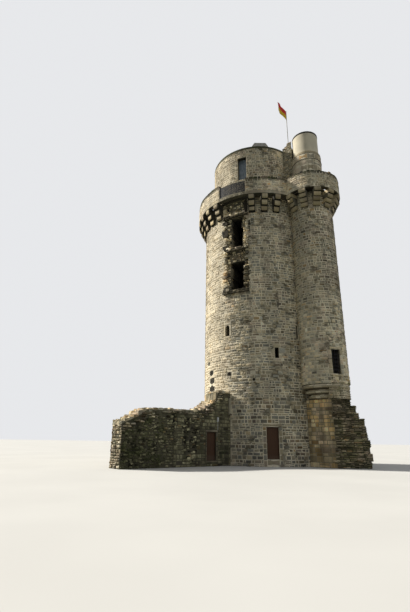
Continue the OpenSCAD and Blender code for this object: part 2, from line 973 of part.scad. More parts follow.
module turret_drum() {
    color("tan")
        at_turret()
            ring(cap_drum_r - cap_wall, cap_drum_r, walk_top + bed, cap_base);
}

// Smooth cap: a plinth on the drum, a hollow shaft and a thin slab
module turret_cap() {
    inner = cap_d / 2 - cap_wall;
    plinth_top = cap_base + coping_t;
    top = cap_base + cap_h;
    color("wheat")
        at_turret()
            rotate_extrude()
                polygon([[inner, cap_base + bed], [cap_drum_r, cap_base + bed],
                    [cap_drum_r, plinth_top], [cap_d / 2, plinth_top],
                    [cap_d / 2, top - coping_t / 2], [cap_d / 2 + coping_lip / 2, top - coping_t / 2],
                    [cap_d / 2 + coping_lip / 2, top], [0, top],
                    [0, top - floor_t], [inner, top - floor_t]]);
}

// Plan of one broken layer of the stub, as points in front of the keep's axis
function stub_plan(i) =
    let (side = stub_t / 2,
        high = max(0, i / (stub_layers - 1) - 0.55) / 0.45,
        near = keep_r + stub_face_l + jag(i + 3, stub_jag / 2),
        far = keep_r + stub_l + jag(i, stub_jag) - (stub_l - stub_top_l) * high)
    [[-side, 0], [side, 0], [side, -far],
        [side * 0.45, -far + (far - near) * 0.15 + jag(i + 5, stub_jag)],
        [0, -(far + near) / 2 + jag(i + 9, stub_jag)],
        [-side * 0.5, -near - (far - near) * 0.2 + jag(i + 12, stub_jag)],
        [-side, -near]];

// Torn end of a curtain wall that ran out from the keep under the turret
module curtain_stub() {
    layer_h = stub_top / stub_layers;
    lap = 1;
    color("tan")
        difference() {
            at_az(turret_az)
                for (i = [0 : stub_layers - 1])
                    translate([0, 0, i * layer_h])
                        linear_extrude(layer_h + (i < stub_layers - 1 ? lap : 0))
                            polygon(stub_plan(i));
            keep_core(-cut, stub_top + cut);
        }
}

module at_curtain() {
    translate([curtain_x, curtain_y, 0])
        rotate([0, 0, curtain_turn])
            children();
}

// Piece of the curtain wall between two distances from the keep. Its tops are the given points.
module curtain_piece(s_from, s_to, z_low, tops) {
    difference() {
        at_curtain()
            translate([0, curtain_t, 0])
                rotate([90, 0, 0])
                    linear_extrude(curtain_t)
                        polygon(concat([[-s_from, z_low], [-s_to, z_low]], tops));
        keep_core(-cut, curtain_h_near + cut);
    }
}

side_door_near = side_door_s - side_door_w / 2;
side_door_far = side_door_s + side_door_w / 2;

// Heights of the broken top over the two sides of the door
curtain_h_step = curtain_h_near - 600;
curtain_h_slope = curtain_h_far + 350;
// Length of the wall's run into the line of the keep, before the keep is cut from it
curtain_root = 1500;

module curtain_wall_near() {
    step_l = 200;
    color("tan")
        difference() {
            curtain_piece(-curtain_root, side_door_near, 0,
                [[-side_door_near, curtain_h_step], [-side_door_near + step_l, curtain_h_near],
                    [curtain_root, curtain_h_near]]);
            at_curtain()
                translate([-corner_slot_w, -cut, corner_slot_z])
                    cube([corner_slot_w + cut, corner_slot_d + cut, corner_slot_h]);
        }
}

module curtain_wall_over_door() {
    color("tan")
        curtain_piece(side_door_near + bed, side_door_far - bed, side_sill + side_door_h,
            [[-side_door_far + bed, curtain_h_slope], [-side_door_near - bed, curtain_h_step]]);
}

module curtain_wall_far() {
    slope_l = 1000;
    fall_from = curtain_l * 0.8;
    fall_to = curtain_l * 0.88;
    color("tan") {
        curtain_piece(side_door_far, curtain_l, 0,
            [[-curtain_l, curtain_h_end], [-fall_to, (curtain_h_end + curtain_h_far) / 2],
                [-fall_from, curtain_h_far], [-side_door_far - slope_l, curtain_h_far],
                [-side_door_far, curtain_h_slope]]);
        at_curtain()
            translate([-side_door_far, 0, 0])
                cube([side_door_w - bed, curtain_t, side_sill]);
    }
}

module at_side_door() {
    at_curtain()
        translate([-side_door_s, door_recess, side_sill])
            children();
}

module curtain_door_frame() {
    color("saddlebrown")
        at_side_door()
            door_frame(side_door_w, side_door_h);
}

module curtain_door_leaf() {
    color("sienna")
        at_side_door()
            door_leaf(side_door_w, side_door_h);
}

module flagpole() {
    color("silver")
        translate([pole_x, pole_y, pole_foot])
            cylinder(r = pole_r, h = pole_h);
}

module flag() {
    pole_head = 50;
    color("crimson")
        translate([pole_x, pole_y, pole_foot + pole_h - flag_h - pole_head])
            rotate([0, 0, flag_turn])
                translate([pole_r + bed, -flag_t / 2, 0])
                    cube([flag_l, flag_t, flag_h]);
}

ground_floor();
ground_wall_left();
ground_wall_right();
ground_wall_back();
ground_wall_over_door();
keep_door_surround();
keep_door_frame();
keep_door_leaf();
first_floor();
first_wall_front();
first_wall_back();
second_floor();
second_wall_front();
second_wall_back();
third_floor();
third_wall_front();
third_wall_back();
wall_walk();
keep_corbels();
keep_lintels();
keep_parapet();
parapet_railing();
upper_drum_front();
upper_drum_back();
drum_floor();
drum_door();
drum_roof();
drum_coping();
roof_hatch();
link_wall();
turret_base();
turret_wall_lower();
turret_wall_upper();
turret_grille();
turret_corbels();
turret_parapet();
turret_walk();
turret_drum();
turret_cap();
curtain_stub();
curtain_wall_near();
curtain_wall_over_door();
curtain_wall_far();
curtain_door_frame();
curtain_door_leaf();
flagpole();
flag();
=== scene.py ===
import math
import random
from itertools import product

import bpy
from mathutils import Matrix, Vector


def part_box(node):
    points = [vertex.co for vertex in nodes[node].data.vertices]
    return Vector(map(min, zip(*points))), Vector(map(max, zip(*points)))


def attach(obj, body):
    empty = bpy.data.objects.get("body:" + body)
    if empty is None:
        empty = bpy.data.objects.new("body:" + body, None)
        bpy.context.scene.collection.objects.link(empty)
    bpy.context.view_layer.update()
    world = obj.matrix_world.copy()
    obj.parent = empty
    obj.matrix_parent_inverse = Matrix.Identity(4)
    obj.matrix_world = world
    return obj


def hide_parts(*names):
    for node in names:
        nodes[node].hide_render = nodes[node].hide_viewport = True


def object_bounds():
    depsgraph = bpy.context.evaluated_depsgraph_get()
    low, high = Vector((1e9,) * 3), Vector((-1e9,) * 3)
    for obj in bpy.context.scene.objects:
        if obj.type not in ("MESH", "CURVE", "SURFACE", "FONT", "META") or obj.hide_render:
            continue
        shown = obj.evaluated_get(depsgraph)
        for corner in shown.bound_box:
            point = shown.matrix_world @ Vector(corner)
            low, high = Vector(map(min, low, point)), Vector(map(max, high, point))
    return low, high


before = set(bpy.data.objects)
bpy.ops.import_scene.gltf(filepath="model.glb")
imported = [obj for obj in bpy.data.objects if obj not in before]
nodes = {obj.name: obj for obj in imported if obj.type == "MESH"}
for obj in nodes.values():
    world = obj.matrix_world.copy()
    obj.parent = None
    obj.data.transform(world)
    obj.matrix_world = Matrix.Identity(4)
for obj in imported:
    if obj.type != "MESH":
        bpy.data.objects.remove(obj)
cad_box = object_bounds()
scene = bpy.context.scene

# Stones stay this far inside the source's box, but may stand on the ground
SKIN = 0.001
BOX_LOW = Vector(cad_box[0]) + Vector((SKIN, SKIN, 0))
BOX_HIGH = Vector(cad_box[1]) - Vector((SKIN, SKIN, SKIN))

# Camera: the photograph's viewpoint, its pitch and its slight roll
FOCAL_PX = 394.0
PHOTO_H = 612
SENSOR = 36.0
CLIP = (0.5, 2000)
CAMERA_AT = Vector((-5.02, -34.67, 1.71))
PITCH = math.radians(18.84)
ROLL = math.radians(0.78)


def add_object(name, data):
    made = bpy.data.objects.new(name, data)
    scene.collection.objects.link(made)
    return made


def make_camera():
    data = bpy.data.cameras.new("view")
    data.sensor_width = SENSOR
    data.sensor_fit = "AUTO"
    data.lens = FOCAL_PX * SENSOR / PHOTO_H
    data.clip_start, data.clip_end = CLIP
    look = Vector((0, math.cos(PITCH), math.sin(PITCH)))
    side = Vector((1, 0, 0))
    right = side * math.cos(ROLL) + side.cross(look) * math.sin(ROLL)
    turn = Matrix((right, right.cross(look), -look)).transposed()
    cam = add_object("view", data)
    cam.matrix_world = Matrix.Translation(CAMERA_AT) @ turn.to_4x4()
    scene.camera = cam


def polar(centre, radius, angle, z=0.0):
    """Point round a vertical axis. The angle is in radians from the front."""
    return Vector((centre[0] + radius * math.sin(angle), centre[1] - radius * math.cos(angle), z))


def at_round(centre, radius, az, z=0.0):
    return polar(centre, radius, math.radians(az), z)


def frame_at(az):
    """Directions along, out of and up a round wall."""
    a = math.radians(az)
    return Vector((math.cos(a), math.sin(a), 0)), Vector((math.sin(a), -math.cos(a), 0)), Vector((0, 0, 1))


# Dimensions that the source also uses, in metres and degrees
KEEP = (0, 0)
KEEP_R = 4.925
DRUM_R = 4.14
PARAPET_R = KEEP_R + 0.75
TURRET_R = 1.79
TURRET_OUT = KEEP_R + 1.045
LATERAL, OUTWARD, UP = frame_at(45.6)
TURRET = OUTWARD * TURRET_OUT
TURRET_PARAPET_R = TURRET_R + 0.76
CAP_DRUM_R = 1.30
FIRST, SECOND, THIRD = 6.0, 12.3, 16.8
Z_WALK = 22.0
WALK_TOP = 22.3
LINTEL_TOP = Z_WALK + 0.28
PARAPET_TOP = 23.5
DRUM_TOP = 28.05
CAP_BASE = 26.5
CAP_TOP = 29.0
TURRET_FOOT = 5.75
STUB_TOP = 4.70
SCAR_AZ = (-43.0, -17.0)
SCAR_FOOT = 13.5
SCAR_DEPTH = 0.17
STUB_SIDE = 1.0
STUB_LAYERS = 10
PUTLOG = 0.15
# Azimuth and height of each putlog hole, and how far the near-black painted shade round it reaches to its sides and
# up and down
PUTLOGS = ((-14.7, 6.12, 0.04, 0.04), (-38.1, 6.64, 0.14, 0.12), (-69.6, 7.80, 0.14, 0.10),
           (-63.5, 6.97, 0.30, 0.12), (-62.4, 6.31, 0.32, 0.15), (-62.3, 5.66, 0.36, 0.13))
# Openings: azimuth, width, foot and head
SLIT = (6.5, 0.32, 7.75, 8.57)
ARCH = (-40, 0.39, 9.7, 10.6)
CORNER_SLIT = (28.2, 0.18, 9.4, 10.5)
DRUM_DOOR = (-24.6, 0.85, 24.75, 27.2)
TURRET_WINDOW = (15.5, 0.70, 6.45, 8.25)
LINK_FROM, LINK_STEP, LINK_HALF = 4.04, 0.2475, 0.9
LINK_TOPS = (28.30, 28.48, 28.67, 28.85)

CURTAIN_AT = at_round(KEEP, KEEP_R, -37.5)
CURTAIN_X, CURTAIN_OUT, _ = frame_at(37)
CURTAIN_IN = -CURTAIN_OUT
CURTAIN_T = 1.4
CURTAIN_L = 8.8
CURTAIN_HIGH, CURTAIN_LOW = 5.15, 3.6
CURTAIN_PROFILE = ((-1.5, CURTAIN_HIGH), (1.16, CURTAIN_HIGH), (1.36, 4.55), (2.19, 3.95), (3.19, CURTAIN_LOW),
                   (7.04, CURTAIN_LOW), (7.744, 3.125), (CURTAIN_L, 2.65))

# The finished materials by name
M = {}


class Graph:
    """Node graph of a material, or of the world."""

    def __init__(self, name, owner=None):
        self.name = name
        self.owner = owner or bpy.data.materials.new(name)
        self.owner.use_nodes = True
        self.tree = self.owner.node_tree
        self.coords = self.add("ShaderNodeTexCoord").outputs["Object"]

    def add(self, kind, *values, **settings):
        """New node. The values fill its inputs in their order, and None leaves one as it is."""
        node = self.tree.nodes.new(kind)
        for key, value in settings.items():
            setattr(node, key, value)
        for socket, value in zip(node.inputs, values):
            if value is not None:
                self.put(socket, value)
        return node

    def put(self, socket, value):
        if isinstance(value, bpy.types.NodeSocket):
            self.tree.links.new(value, socket)
        elif hasattr(socket.default_value, "__len__") and len(socket.default_value) == 4:
            socket.default_value = tuple(value)[:3] + (1,)
        else:
            socket.default_value = value

    def math(self, operation, a, b=0.0):
        return self.add("ShaderNodeMath", a, b, operation=operation).outputs[0]

    def plus(self, a, b):
        return self.math("ADD", a, b)

    def minus(self, a, b):
        return self.math("SUBTRACT", a, b)

    def times(self, a, b):
        return self.math("MULTIPLY", a, b)

    def ranged(self, value, low, high, to_low=0.0, to_high=1.0):
        return self.add("ShaderNodeMapRange", value, low, high, to_low, to_high,
                        interpolation_type="SMOOTHSTEP").outputs["Result"]

    def split(self, vector):
        return self.add("ShaderNodeSeparateXYZ", vector).outputs

    def join(self, x, y):
        return self.add("ShaderNodeCombineXYZ", x, y).outputs[0]

    def moved(self, *by, operation="ADD"):
        """The object's own coordinates with a vector added, or multiplied."""
        return self.add("ShaderNodeVectorMath", self.coords, by, operation=operation).outputs[0]

    def noise(self, scale, detail=3.0, vector=None, roughness=0.55):
        return self.add("ShaderNodeTexNoise", self.coords if vector is None else vector, None, scale, detail,
                        roughness).outputs["Fac"]

    def waver(self, value, scale, detail, amount):
        return self.plus(value, self.times(self.noise(scale, detail), amount))

    def mix(self, factor, a, b):
        node = self.add("ShaderNodeMix", factor, data_type="RGBA")
        self.put(node.inputs[6], a)
        self.put(node.inputs[7], b)
        return node.outputs[2]

    def mottle(self, a, b, scale=2.2):
        return self.mix(self.ranged(self.noise(scale, 5.0), 0.35, 0.7), a, b)

    def lit(self, colour, amount):
        return self.add("ShaderNodeVectorMath", colour, None, None, amount, operation="SCALE").outputs[0]

    def fade(self, colour, value, low, high, to_low, to_high):
        return self.lit(colour, self.ranged(value, low, high, to_low, to_high))

    def painted_soffit_shade(self, colour):
        """Darkens the faces that look down: painted shade where little light comes, and partly dirt where no rain
        washes.
        """
        up = self.split(self.add("ShaderNodeNewGeometry").outputs["Normal"])[2]
        return self.fade(colour, up, -0.9, -0.4, 0.25, 1.0)

    def own(self, name):
        return self.add("ShaderNodeAttribute", attribute_name=name).outputs["Fac"]

    def dull(self, scale=16.0, detail=3.0, low=0.85):
        """Roughness of stone."""
        return self.ranged(self.noise(scale, detail), 0.2, 0.8, low, 0.97)

    def seen(self):
        """1 for the rays that show a surface itself, 0 for those that only carry light."""
        rays = self.add("ShaderNodeLightPath").outputs
        return self.math("MAXIMUM", rays["Is Camera Ray"],
                         self.math("MAXIMUM", rays["Is Glossy Ray"], rays["Is Transmission Ray"]))

    def finish(self, colour, roughness, height=None, relief=0.0):
        inputs = self.tree.nodes["Principled BSDF"].inputs
        self.put(inputs["Base Color"], colour)
        self.put(inputs["Roughness"], roughness)
        inputs["Specular IOR Level"].default_value = 0.2
        if height is not None:
            bump = self.add("ShaderNodeBump", 1.0, relief)
            self.put(bump.inputs["Height"], height)
            self.put(inputs["Normal"], bump.outputs["Normal"])
        M[self.name] = self.owner


# Colours of the stone, as they would look under plain light
GREY = (0.40, 0.375, 0.295)
TAN = (0.52, 0.445, 0.305)
OCHRE = (0.50, 0.335, 0.16)
BLUE_GREY = (0.345, 0.335, 0.285)
BROWN = (0.54, 0.385, 0.185)
WARM = (0.56, 0.46, 0.285)
ROSE_GREY = (0.47, 0.375, 0.29)
MORTAR = (0.56, 0.51, 0.40)
OLD_MORTAR = (0.25, 0.23, 0.17)
PALE = (0.60, 0.545, 0.42)
SUNLIT_CREAM = (0.70, 0.605, 0.45)
PLASTER = (0.73, 0.67, 0.53)
OLIVE = (0.22, 0.21, 0.115)
DULL_GREEN = (0.315, 0.30, 0.19)
OLD_STONE = (0.40, 0.37, 0.235)
# Near-black, used for dirt and also for painted shade
DIRT_AND_SHADE = (0.07, 0.065, 0.05)
MOSS = (0.085, 0.095, 0.04)


def weathered(g, colour, streaks=0.15, moss=0.0):
    """Blotches, rain streaks and grain over a stone colour."""
    colour = g.fade(colour, g.noise(0.42, 5.0), 0.32, 0.68, 0.84, 1.14)
    run = g.noise(1.0, 4.0, g.moved(1.7, 1.7, 0.13, operation="MULTIPLY"))
    colour = g.fade(colour, run, 0.35, 0.66, 1.0 - streaks, 1.0 + streaks * 0.35)
    colour = g.fade(colour, g.noise(30.0), 0.25, 0.75, 0.84, 1.16)
    if moss:
        colour = g.mix(g.ranged(g.noise(1.3, 6.0, roughness=0.7), 0.5, 0.62, 0.0, moss), colour, MOSS)
    return colour


def around(g, centre):
    """Angle round, distance from and height on a vertical axis."""
    x, y, z = g.split(g.moved(-centre[0], -centre[1], 0.0))
    out = g.math("SQRT", g.plus(g.times(x, x), g.times(y, y)))
    return g.math("ARCTAN2", x, g.times(y, -1.0)), out, z


def sunlit_side(g, angle, back):
    """1 on the sunlit side, 0 in front and again behind the angle given; it marks where light is painted on the
    stones and the mortar.
    """
    return g.times(g.ranged(angle, -0.75, -0.3, 1.0, 0.0), g.ranged(angle, back, back + 0.75))


def two_tones(g, hue, cool, warm, field):
    """Colour of a stone by its own hue and by the part of the wall that it lies in."""
    blend = g.plus(g.times(hue, 0.5), g.times(field, 0.5))
    return g.mix(g.ranged(blend, 0.32, 0.66), cool, warm)


def pitted(g, fine):
    return g.plus(g.times(g.noise(8.0, 5.0), 0.9), g.times(g.noise(50.0, 4.0, roughness=fine), 0.35))


def stone_faces(name, cool, warm, ochre_share=0.08, moss=0.0, streaks=0.15, gain=1.0, foot_light=1.0,
                dirt_and_shade_from=None, sun_side_paint=0.0, corner_shade=1.0):
    """Material of the single stones, each with its own tone and hue.

    A dark band lies from about the given height upwards: partly dirt, and partly painted shade under the overhanging
    corbels. The sunlit side can be turned to an even cream, which is painted light. The corner beside the turret can
    be darkened as painted shade, and the wall's foot then turns darker towards the bottom. The lowest stones can be
    made paler, which is painted bounce light from the ground."""
    g = Graph(name)
    hue, tone, z = g.own("hue"), g.own("tone"), g.split(g.coords)[2]
    colour = two_tones(g, hue, cool, warm, g.noise(0.7, 2.0))
    rose = g.noise(0.8, 2.0, g.moved(17.0, 5.0, 3.0))
    colour = g.mix(g.ranged(rose, 0.50, 0.64, 0.0, 0.65), colour, ROSE_GREY)
    colour = g.mix(g.ranged(hue, 1.0 - ochre_share, 1.0, 0.0, 0.8), colour, OCHRE)
    # The sunlit side turns to an even cream: painted light.
    if sun_side_paint:
        sunny = sunlit_side(g, g.waver(around(g, KEEP)[0], 0.8, 3.0, 0.3), -2.05)
        sunny = g.times(sunny, g.ranged(tone, 0.2, 0.35, 0.0, sun_side_paint))
        colour = g.mix(sunny, colour, g.lit(SUNLIT_CREAM, 1 / gain))
        even = g.plus(g.times(g.minus(tone, 1.0), 0.45), 1.0)
        tone = g.plus(g.times(tone, g.minus(1.0, sunny)), g.times(even, sunny))
    colour = g.lit(colour, g.times(tone, gain))
    # The corner beside the turret is darkened as painted shade; the wall is also darker towards its foot.
    if corner_shade != 1.0:
        corner = g.ranged(around(g, KEEP)[0], 0.22, 0.52, 1.0, corner_shade)
        foot = g.ranged(g.waver(z, 0.6, 3.0, 3.0), 5.0, 8.0, 0.80, 1.0)
        colour = g.lit(colour, g.times(corner, foot))
    # The lowest stones are made paler: painted bounce light from the ground.
    if foot_light != 1.0:
        colour = g.fade(colour, z, 7.0, 15.0, foot_light, 1.0)
    # A dark band from the given height up: partly dirt, partly painted shade under the overhanging corbels.
    if dirt_and_shade_from:
        edge = g.waver(z, 2.5, 4.0, 0.9)
        colour = g.mix(g.ranged(edge, dirt_and_shade_from + 0.1, dirt_and_shade_from + 0.45, 0.0, 0.8), colour, DIRT_AND_SHADE)
    g.finish(weathered(g, colour, streaks, moss), g.dull(14.0, 2.0, 0.84), pitted(g, 0.7), 0.035)


def curtain_material():
    """Stones of the ruined wall: darker next to the keep as painted shade in the corner, mossy and dark towards its
    far end.
    """
    g = Graph("curtain_stone")
    hue = g.own("hue")
    colour = two_tones(g, hue, DULL_GREEN, OLD_STONE, g.noise(0.9))
    colour = g.mix(g.ranged(hue, 0.93, 1.0, 0.0, 0.7), colour, OCHRE)
    x, y = g.split(g.moved(-CURTAIN_AT.x, -CURTAIN_AT.y, 0.0))[:2]
    run = g.plus(g.times(x, -CURTAIN_X.x), g.times(y, -CURTAIN_X.y))
    run = g.plus(run, g.times(g.minus(g.noise(1.2, 4.0), 0.5), 1.6))
    far = g.ranged(run, 5.3, 6.3)
    # Darker next to the keep: painted shade in the corner.
    colour = g.lit(colour, g.times(g.own("tone"), g.ranged(run, 0.8, 1.5, 0.55, 0.86)))
    colour = g.lit(colour, g.minus(1.0, g.times(far, 0.28)))
    patch = g.times(far, g.ranged(g.noise(1.7, 6.0, roughness=0.7), 0.42, 0.56, 0.0, 0.75))
    colour = g.mix(patch, colour, MOSS)
    colour = g.fade(colour, g.noise(2.3, 6.0, g.moved(9.0, 4.0, 7.0), 0.7), 0.52, 0.64, 1.0, 1.55)
    g.finish(weathered(g, colour, 0.4, 0.45), 0.94, pitted(g, 0.55), 0.035)


def brick_field(g, u, v, course, length):
    """Joint mask and a random number for each stone, on any two running lengths."""
    row = g.math("FLOOR", g.math("DIVIDE", v, course))
    wobble = g.add("ShaderNodeTexNoise", g.join(g.times(u, 1.3), g.times(row, 7.31)), None, 1.0, 0.0,
                   noise_dimensions="2D").outputs["Fac"]
    along = g.plus(u, g.times(wobble, length * 1.1))
    brick = g.add("ShaderNodeTexBrick", g.join(along, v), (0, 0, 0), (1, 1, 1), (0.5, 0.5, 0.5),
                  1.0, 0.012, 0.3, None, length, course, offset=0.5, squash=1.0)
    return brick.outputs["Fac"], brick.outputs["Color"]


def bed_colour(g, angle):
    """Mortar that is pale in places and washed out in others; it is paler on the shaded side and evener on the sunlit
    side, which is painted light and shade.
    """
    sunny = sunlit_side(g, angle, -3.1)
    gone = g.times(g.ranged(g.noise(1.6, 4.0), 0.50, 0.66), g.ranged(sunny, 0.0, 1.0, 1.0, 0.3))
    return g.mix(gone, g.fade(MORTAR, sunny, 0.0, 1.0, 1.8, 1.45), g.lit(OLD_MORTAR, 0.85))


def masonry(name, centre, radius, cool=GREY, warm=TAN, course=0.24, length=0.42, covered=True, gain=1.3,
            joint_tint=MORTAR, putlogs=False):
    """Material of a round wall: stones in courses, and bare mortar where single stones cover it."""
    g = Graph(name)
    angle, out, z = around(g, centre)
    joint, tint = brick_field(g, g.plus(g.times(angle, radius), out), z, course, length)
    tone = g.split(tint)[0]
    colour = g.mix(g.ranged(tone, 0.1, 0.9), cool, warm)
    colour = g.lit(colour, g.times(g.ranged(tone, 0.0, 1.0, 0.75, 1.2), gain))
    colour = g.mix(joint, colour, joint_tint)
    if covered:
        # Faces set back into the wall are darkened: painted shade in recesses and openings.
        for deep, shallow, dark in ((0.14, 0.06, 0.3), (0.55, 0.40, 0.22)):
            colour = g.fade(colour, out, radius - deep, radius - shallow, dark, 1.0)
        colour = g.mix(g.ranged(out, radius - 0.05, radius - 0.02), colour, bed_colour(g, angle))
        ledge = g.mix(g.ranged(g.noise(5.0), 0.4, 0.6), g.lit(OLD_MORTAR, 0.25), g.lit(TAN, 0.4))
        colour = g.mix(g.ranged(out, radius + 0.04, radius + 0.06), colour, ledge)
    # The wall round each putlog hole is darkened: painted shade of the hole.
    if putlogs:
        nearest = 1.0
        for az, high, wide, _ in PUTLOGS:
            apart = g.add("ShaderNodeVectorMath", g.coords, at_round(KEEP, KEEP_R, az, high),
                          operation="DISTANCE").outputs["Value"]
            nearest = g.math("MINIMUM", nearest, g.minus(apart, wide * 0.6))
        colour = g.fade(colour, nearest, 0.05, 0.12, 0.08, 1.0)
    height = g.minus(g.times(g.noise(9.0, 5.0), 0.8), g.times(joint, 0.5))
    g.finish(weathered(g, g.painted_soffit_shade(colour)), g.dull(14.0, 2.0, 0.84), height, 0.025)


def plain_stone(name, colour, other=GREY, gain=1.0, streaks=0.3, moss=0.0):
    """Dressed stone or rubble core without courses of its own."""
    g = Graph(name)
    tint = weathered(g, g.painted_soffit_shade(g.lit(g.mottle(colour, other), gain)), streaks, moss)
    g.finish(tint, g.dull(), g.plus(g.noise(11.0, 6.0), g.times(g.noise(60.0), 0.3)), 0.02)


def floor_material():
    """Worn flagstones, darkened where the walk runs out over the corbels: painted shade."""
    g = Graph("floor_stone")
    tint = weathered(g, g.mottle(GREY, TAN), 0.2, 0.1)
    tint = g.mix(g.ranged(around(g, KEEP)[1], KEEP_R - 0.1, KEEP_R), tint, DIRT_AND_SHADE)
    g.finish(tint, g.dull(), g.noise(11.0, 6.0), 0.02)


def stub_material():
    """Core of the torn stub: pale mortar on its coursed face, dark where it is torn."""
    g = Graph("stub_core")
    x, y = g.split(g.coords)[:2]
    side = g.plus(g.times(x, LATERAL.x), g.times(y, LATERAL.y))
    core = g.mottle(g.lit(OLD_MORTAR, 0.5), g.lit(OLIVE, 0.4))
    tint = g.mix(g.ranged(side, -STUB_SIDE + 0.01, -STUB_SIDE + 0.03), g.lit(TAN, 0.8), core)
    g.finish(weathered(g, tint, 0.3), 0.92, g.noise(11.0, 6.0), 0.02)


def plaster_material():
    """Smooth render on the cap, stained at its foot and along its top, and paler on its right side, which is painted
    light.
    """
    g = Graph("cap_plaster")
    z = g.split(g.coords)[2]
    tint = g.mottle(PLASTER, g.lit(PLASTER, 0.86), 1.1)
    # Paler on the cap's right side: painted light.
    tint = g.fade(tint, around(g, TURRET)[0], -0.5, 0.3, 0.98, 1.22)
    foot = g.waver(z, 3.0, 4.0, 0.5)
    tint = g.mix(g.ranged(foot, CAP_BASE + 0.45, CAP_BASE + 0.62, 1.0, 0.0), tint, TAN)
    top = g.waver(z, 6.0, 3.0, 0.05)
    tint = g.mix(g.ranged(top, CAP_TOP - 0.17, CAP_TOP - 0.12), tint, DIRT_AND_SHADE)
    tint = g.fade(tint, g.noise(24.0), 0.2, 0.8, 0.93, 1.05)
    g.finish(tint, 0.88, g.noise(9.0, 6.0), 0.012)


def metal(name, colour, roughness, scale=30.0, relief=0.0015):
    g = Graph(name)
    tint = g.fade(colour, g.noise(3.0, 6.0, roughness=0.7), 0.35, 0.72, 0.78, 1.14)
    rough = g.ranged(g.noise(scale, 4.0), 0.3, 0.7, roughness - 0.1, roughness + 0.1)
    g.finish(tint, rough, g.noise(scale * 2), relief)


def door_material():
    """Brown painted boards, 120 mm wide, with rain wear at the foot."""
    g = Graph("door_boards")
    x, y, z = g.split(g.coords)
    run = g.plus(g.times(x, 0.9), g.times(y, 0.35))
    near = g.math("ABSOLUTE", g.minus(g.math("FRACT", g.math("DIVIDE", run, 0.12)), 0.5))
    gap = g.ranged(near, 0.46, 0.49)
    grain = g.noise(6.0, 6.0, g.moved(9.0, 9.0, 0.5, operation="MULTIPLY"))
    tint = g.mix(g.ranged(grain, 0.3, 0.7), (0.062, 0.031, 0.016), (0.095, 0.048, 0.026))
    tint = g.mix(g.ranged(z, 0.55, 0.85, 0.55, 0.0), tint, (0.12, 0.085, 0.06))
    tint = g.mix(gap, tint, (0.018, 0.010, 0.008))
    g.finish(tint, g.ranged(grain, 0.2, 0.8, 0.5, 0.68), g.minus(g.times(grain, 0.3), gap), 0.004)


def make_materials():
    stone_faces("keep_stone", BLUE_GREY, TAN, 0.04, gain=1.14, sun_side_paint=0.75, dirt_and_shade_from=Z_WALK - 0.15, corner_shade=0.84)
    stone_faces("drum_stone", GREY, TAN, 0.05, 0.2, 0.35, 1.16, sun_side_paint=0.9)
    stone_faces("turret_stone", GREY, TAN, gain=1.07, foot_light=1.75, dirt_and_shade_from=Z_WALK - 0.1)
    stone_faces("parapet_stone", TAN, GREY, 0.08, 0.15, 0.25, 1.42, dirt_and_shade_from=PARAPET_TOP, sun_side_paint=0.8)
    stone_faces("scar_stone", PALE, TAN, 0.04, 0.1, gain=1.5)
    stone_faces("curtain_top", TAN, GREY, 0.10, 0.55, 0.1, 1.25)
    stone_faces("stub_stone", WARM, BROWN, 0.08, 0.0, 0.45, 1.72)
    stone_faces("stub_rubble", OLIVE, TAN, 0.06, 0.3, 0.2, 1.15)
    stone_faces("pale_stone", PALE, TAN, 0.03, 0.0, 0.2, 1.2)
    stone_faces("corbel_stone", TAN, WARM, 0.05, 0.0, 0.2, 1.12)
    stone_faces("mossy_stone", DIRT_AND_SHADE, MOSS, 0.04, 0.3, 0.1, 0.8)
    masonry("keep_wall", KEEP, KEEP_R, putlogs=True)
    masonry("drum_wall", KEEP, DRUM_R)
    masonry("parapet_wall", KEEP, PARAPET_R)
    masonry("turret_wall", TURRET, TURRET_R)
    masonry("turret_parapet", TURRET, TURRET_PARAPET_R)
    masonry("cap_drum", TURRET, CAP_DRUM_R, TAN, PALE, 0.52, 0.8)
    masonry("ring_stone", TURRET, TURRET_R, TAN, PALE, 0.35, 0.62, False, 1.55, OLD_MORTAR)
    plain_stone("turret_corbel_bed", OLD_MORTAR, GREY, 0.7)
    plain_stone("curtain_core", OLD_MORTAR, OLD_STONE, 0.42, 0.35, 0.35)
    plain_stone("link_core", OLD_MORTAR, GREY, 1.0, 0.3, 0.1)
    # The keep's corbel cores are near black, and the corbel stones sit in from their flanks: the dark flanks are
    # painted shade.
    plain_stone("corbel_bed", OLD_MORTAR, DIRT_AND_SHADE, 0.35)
    plain_stone("dressed_stone", PALE, GREY, 1.05)
    plain_stone("coping_stone", DIRT_AND_SHADE, MOSS, 1.3, 0.3, 0.3)
    curtain_material()
    stub_material()
    floor_material()
    plaster_material()
    door_material()
    metal("iron_paint", (0.045, 0.046, 0.05), 0.6)
    metal("roof_sheet", (0.52, 0.51, 0.48), 0.55, 12.0, 0.003)
    metal("pole_paint", (0.5, 0.5, 0.48), 0.5)
    # The drum door's glazing is an opaque blue-grey: painted sky reflection.
    metal("glazed_door", (0.22, 0.27, 0.33), 0.35)
    metal("lamp_enamel", (0.80, 0.82, 0.84), 0.4)


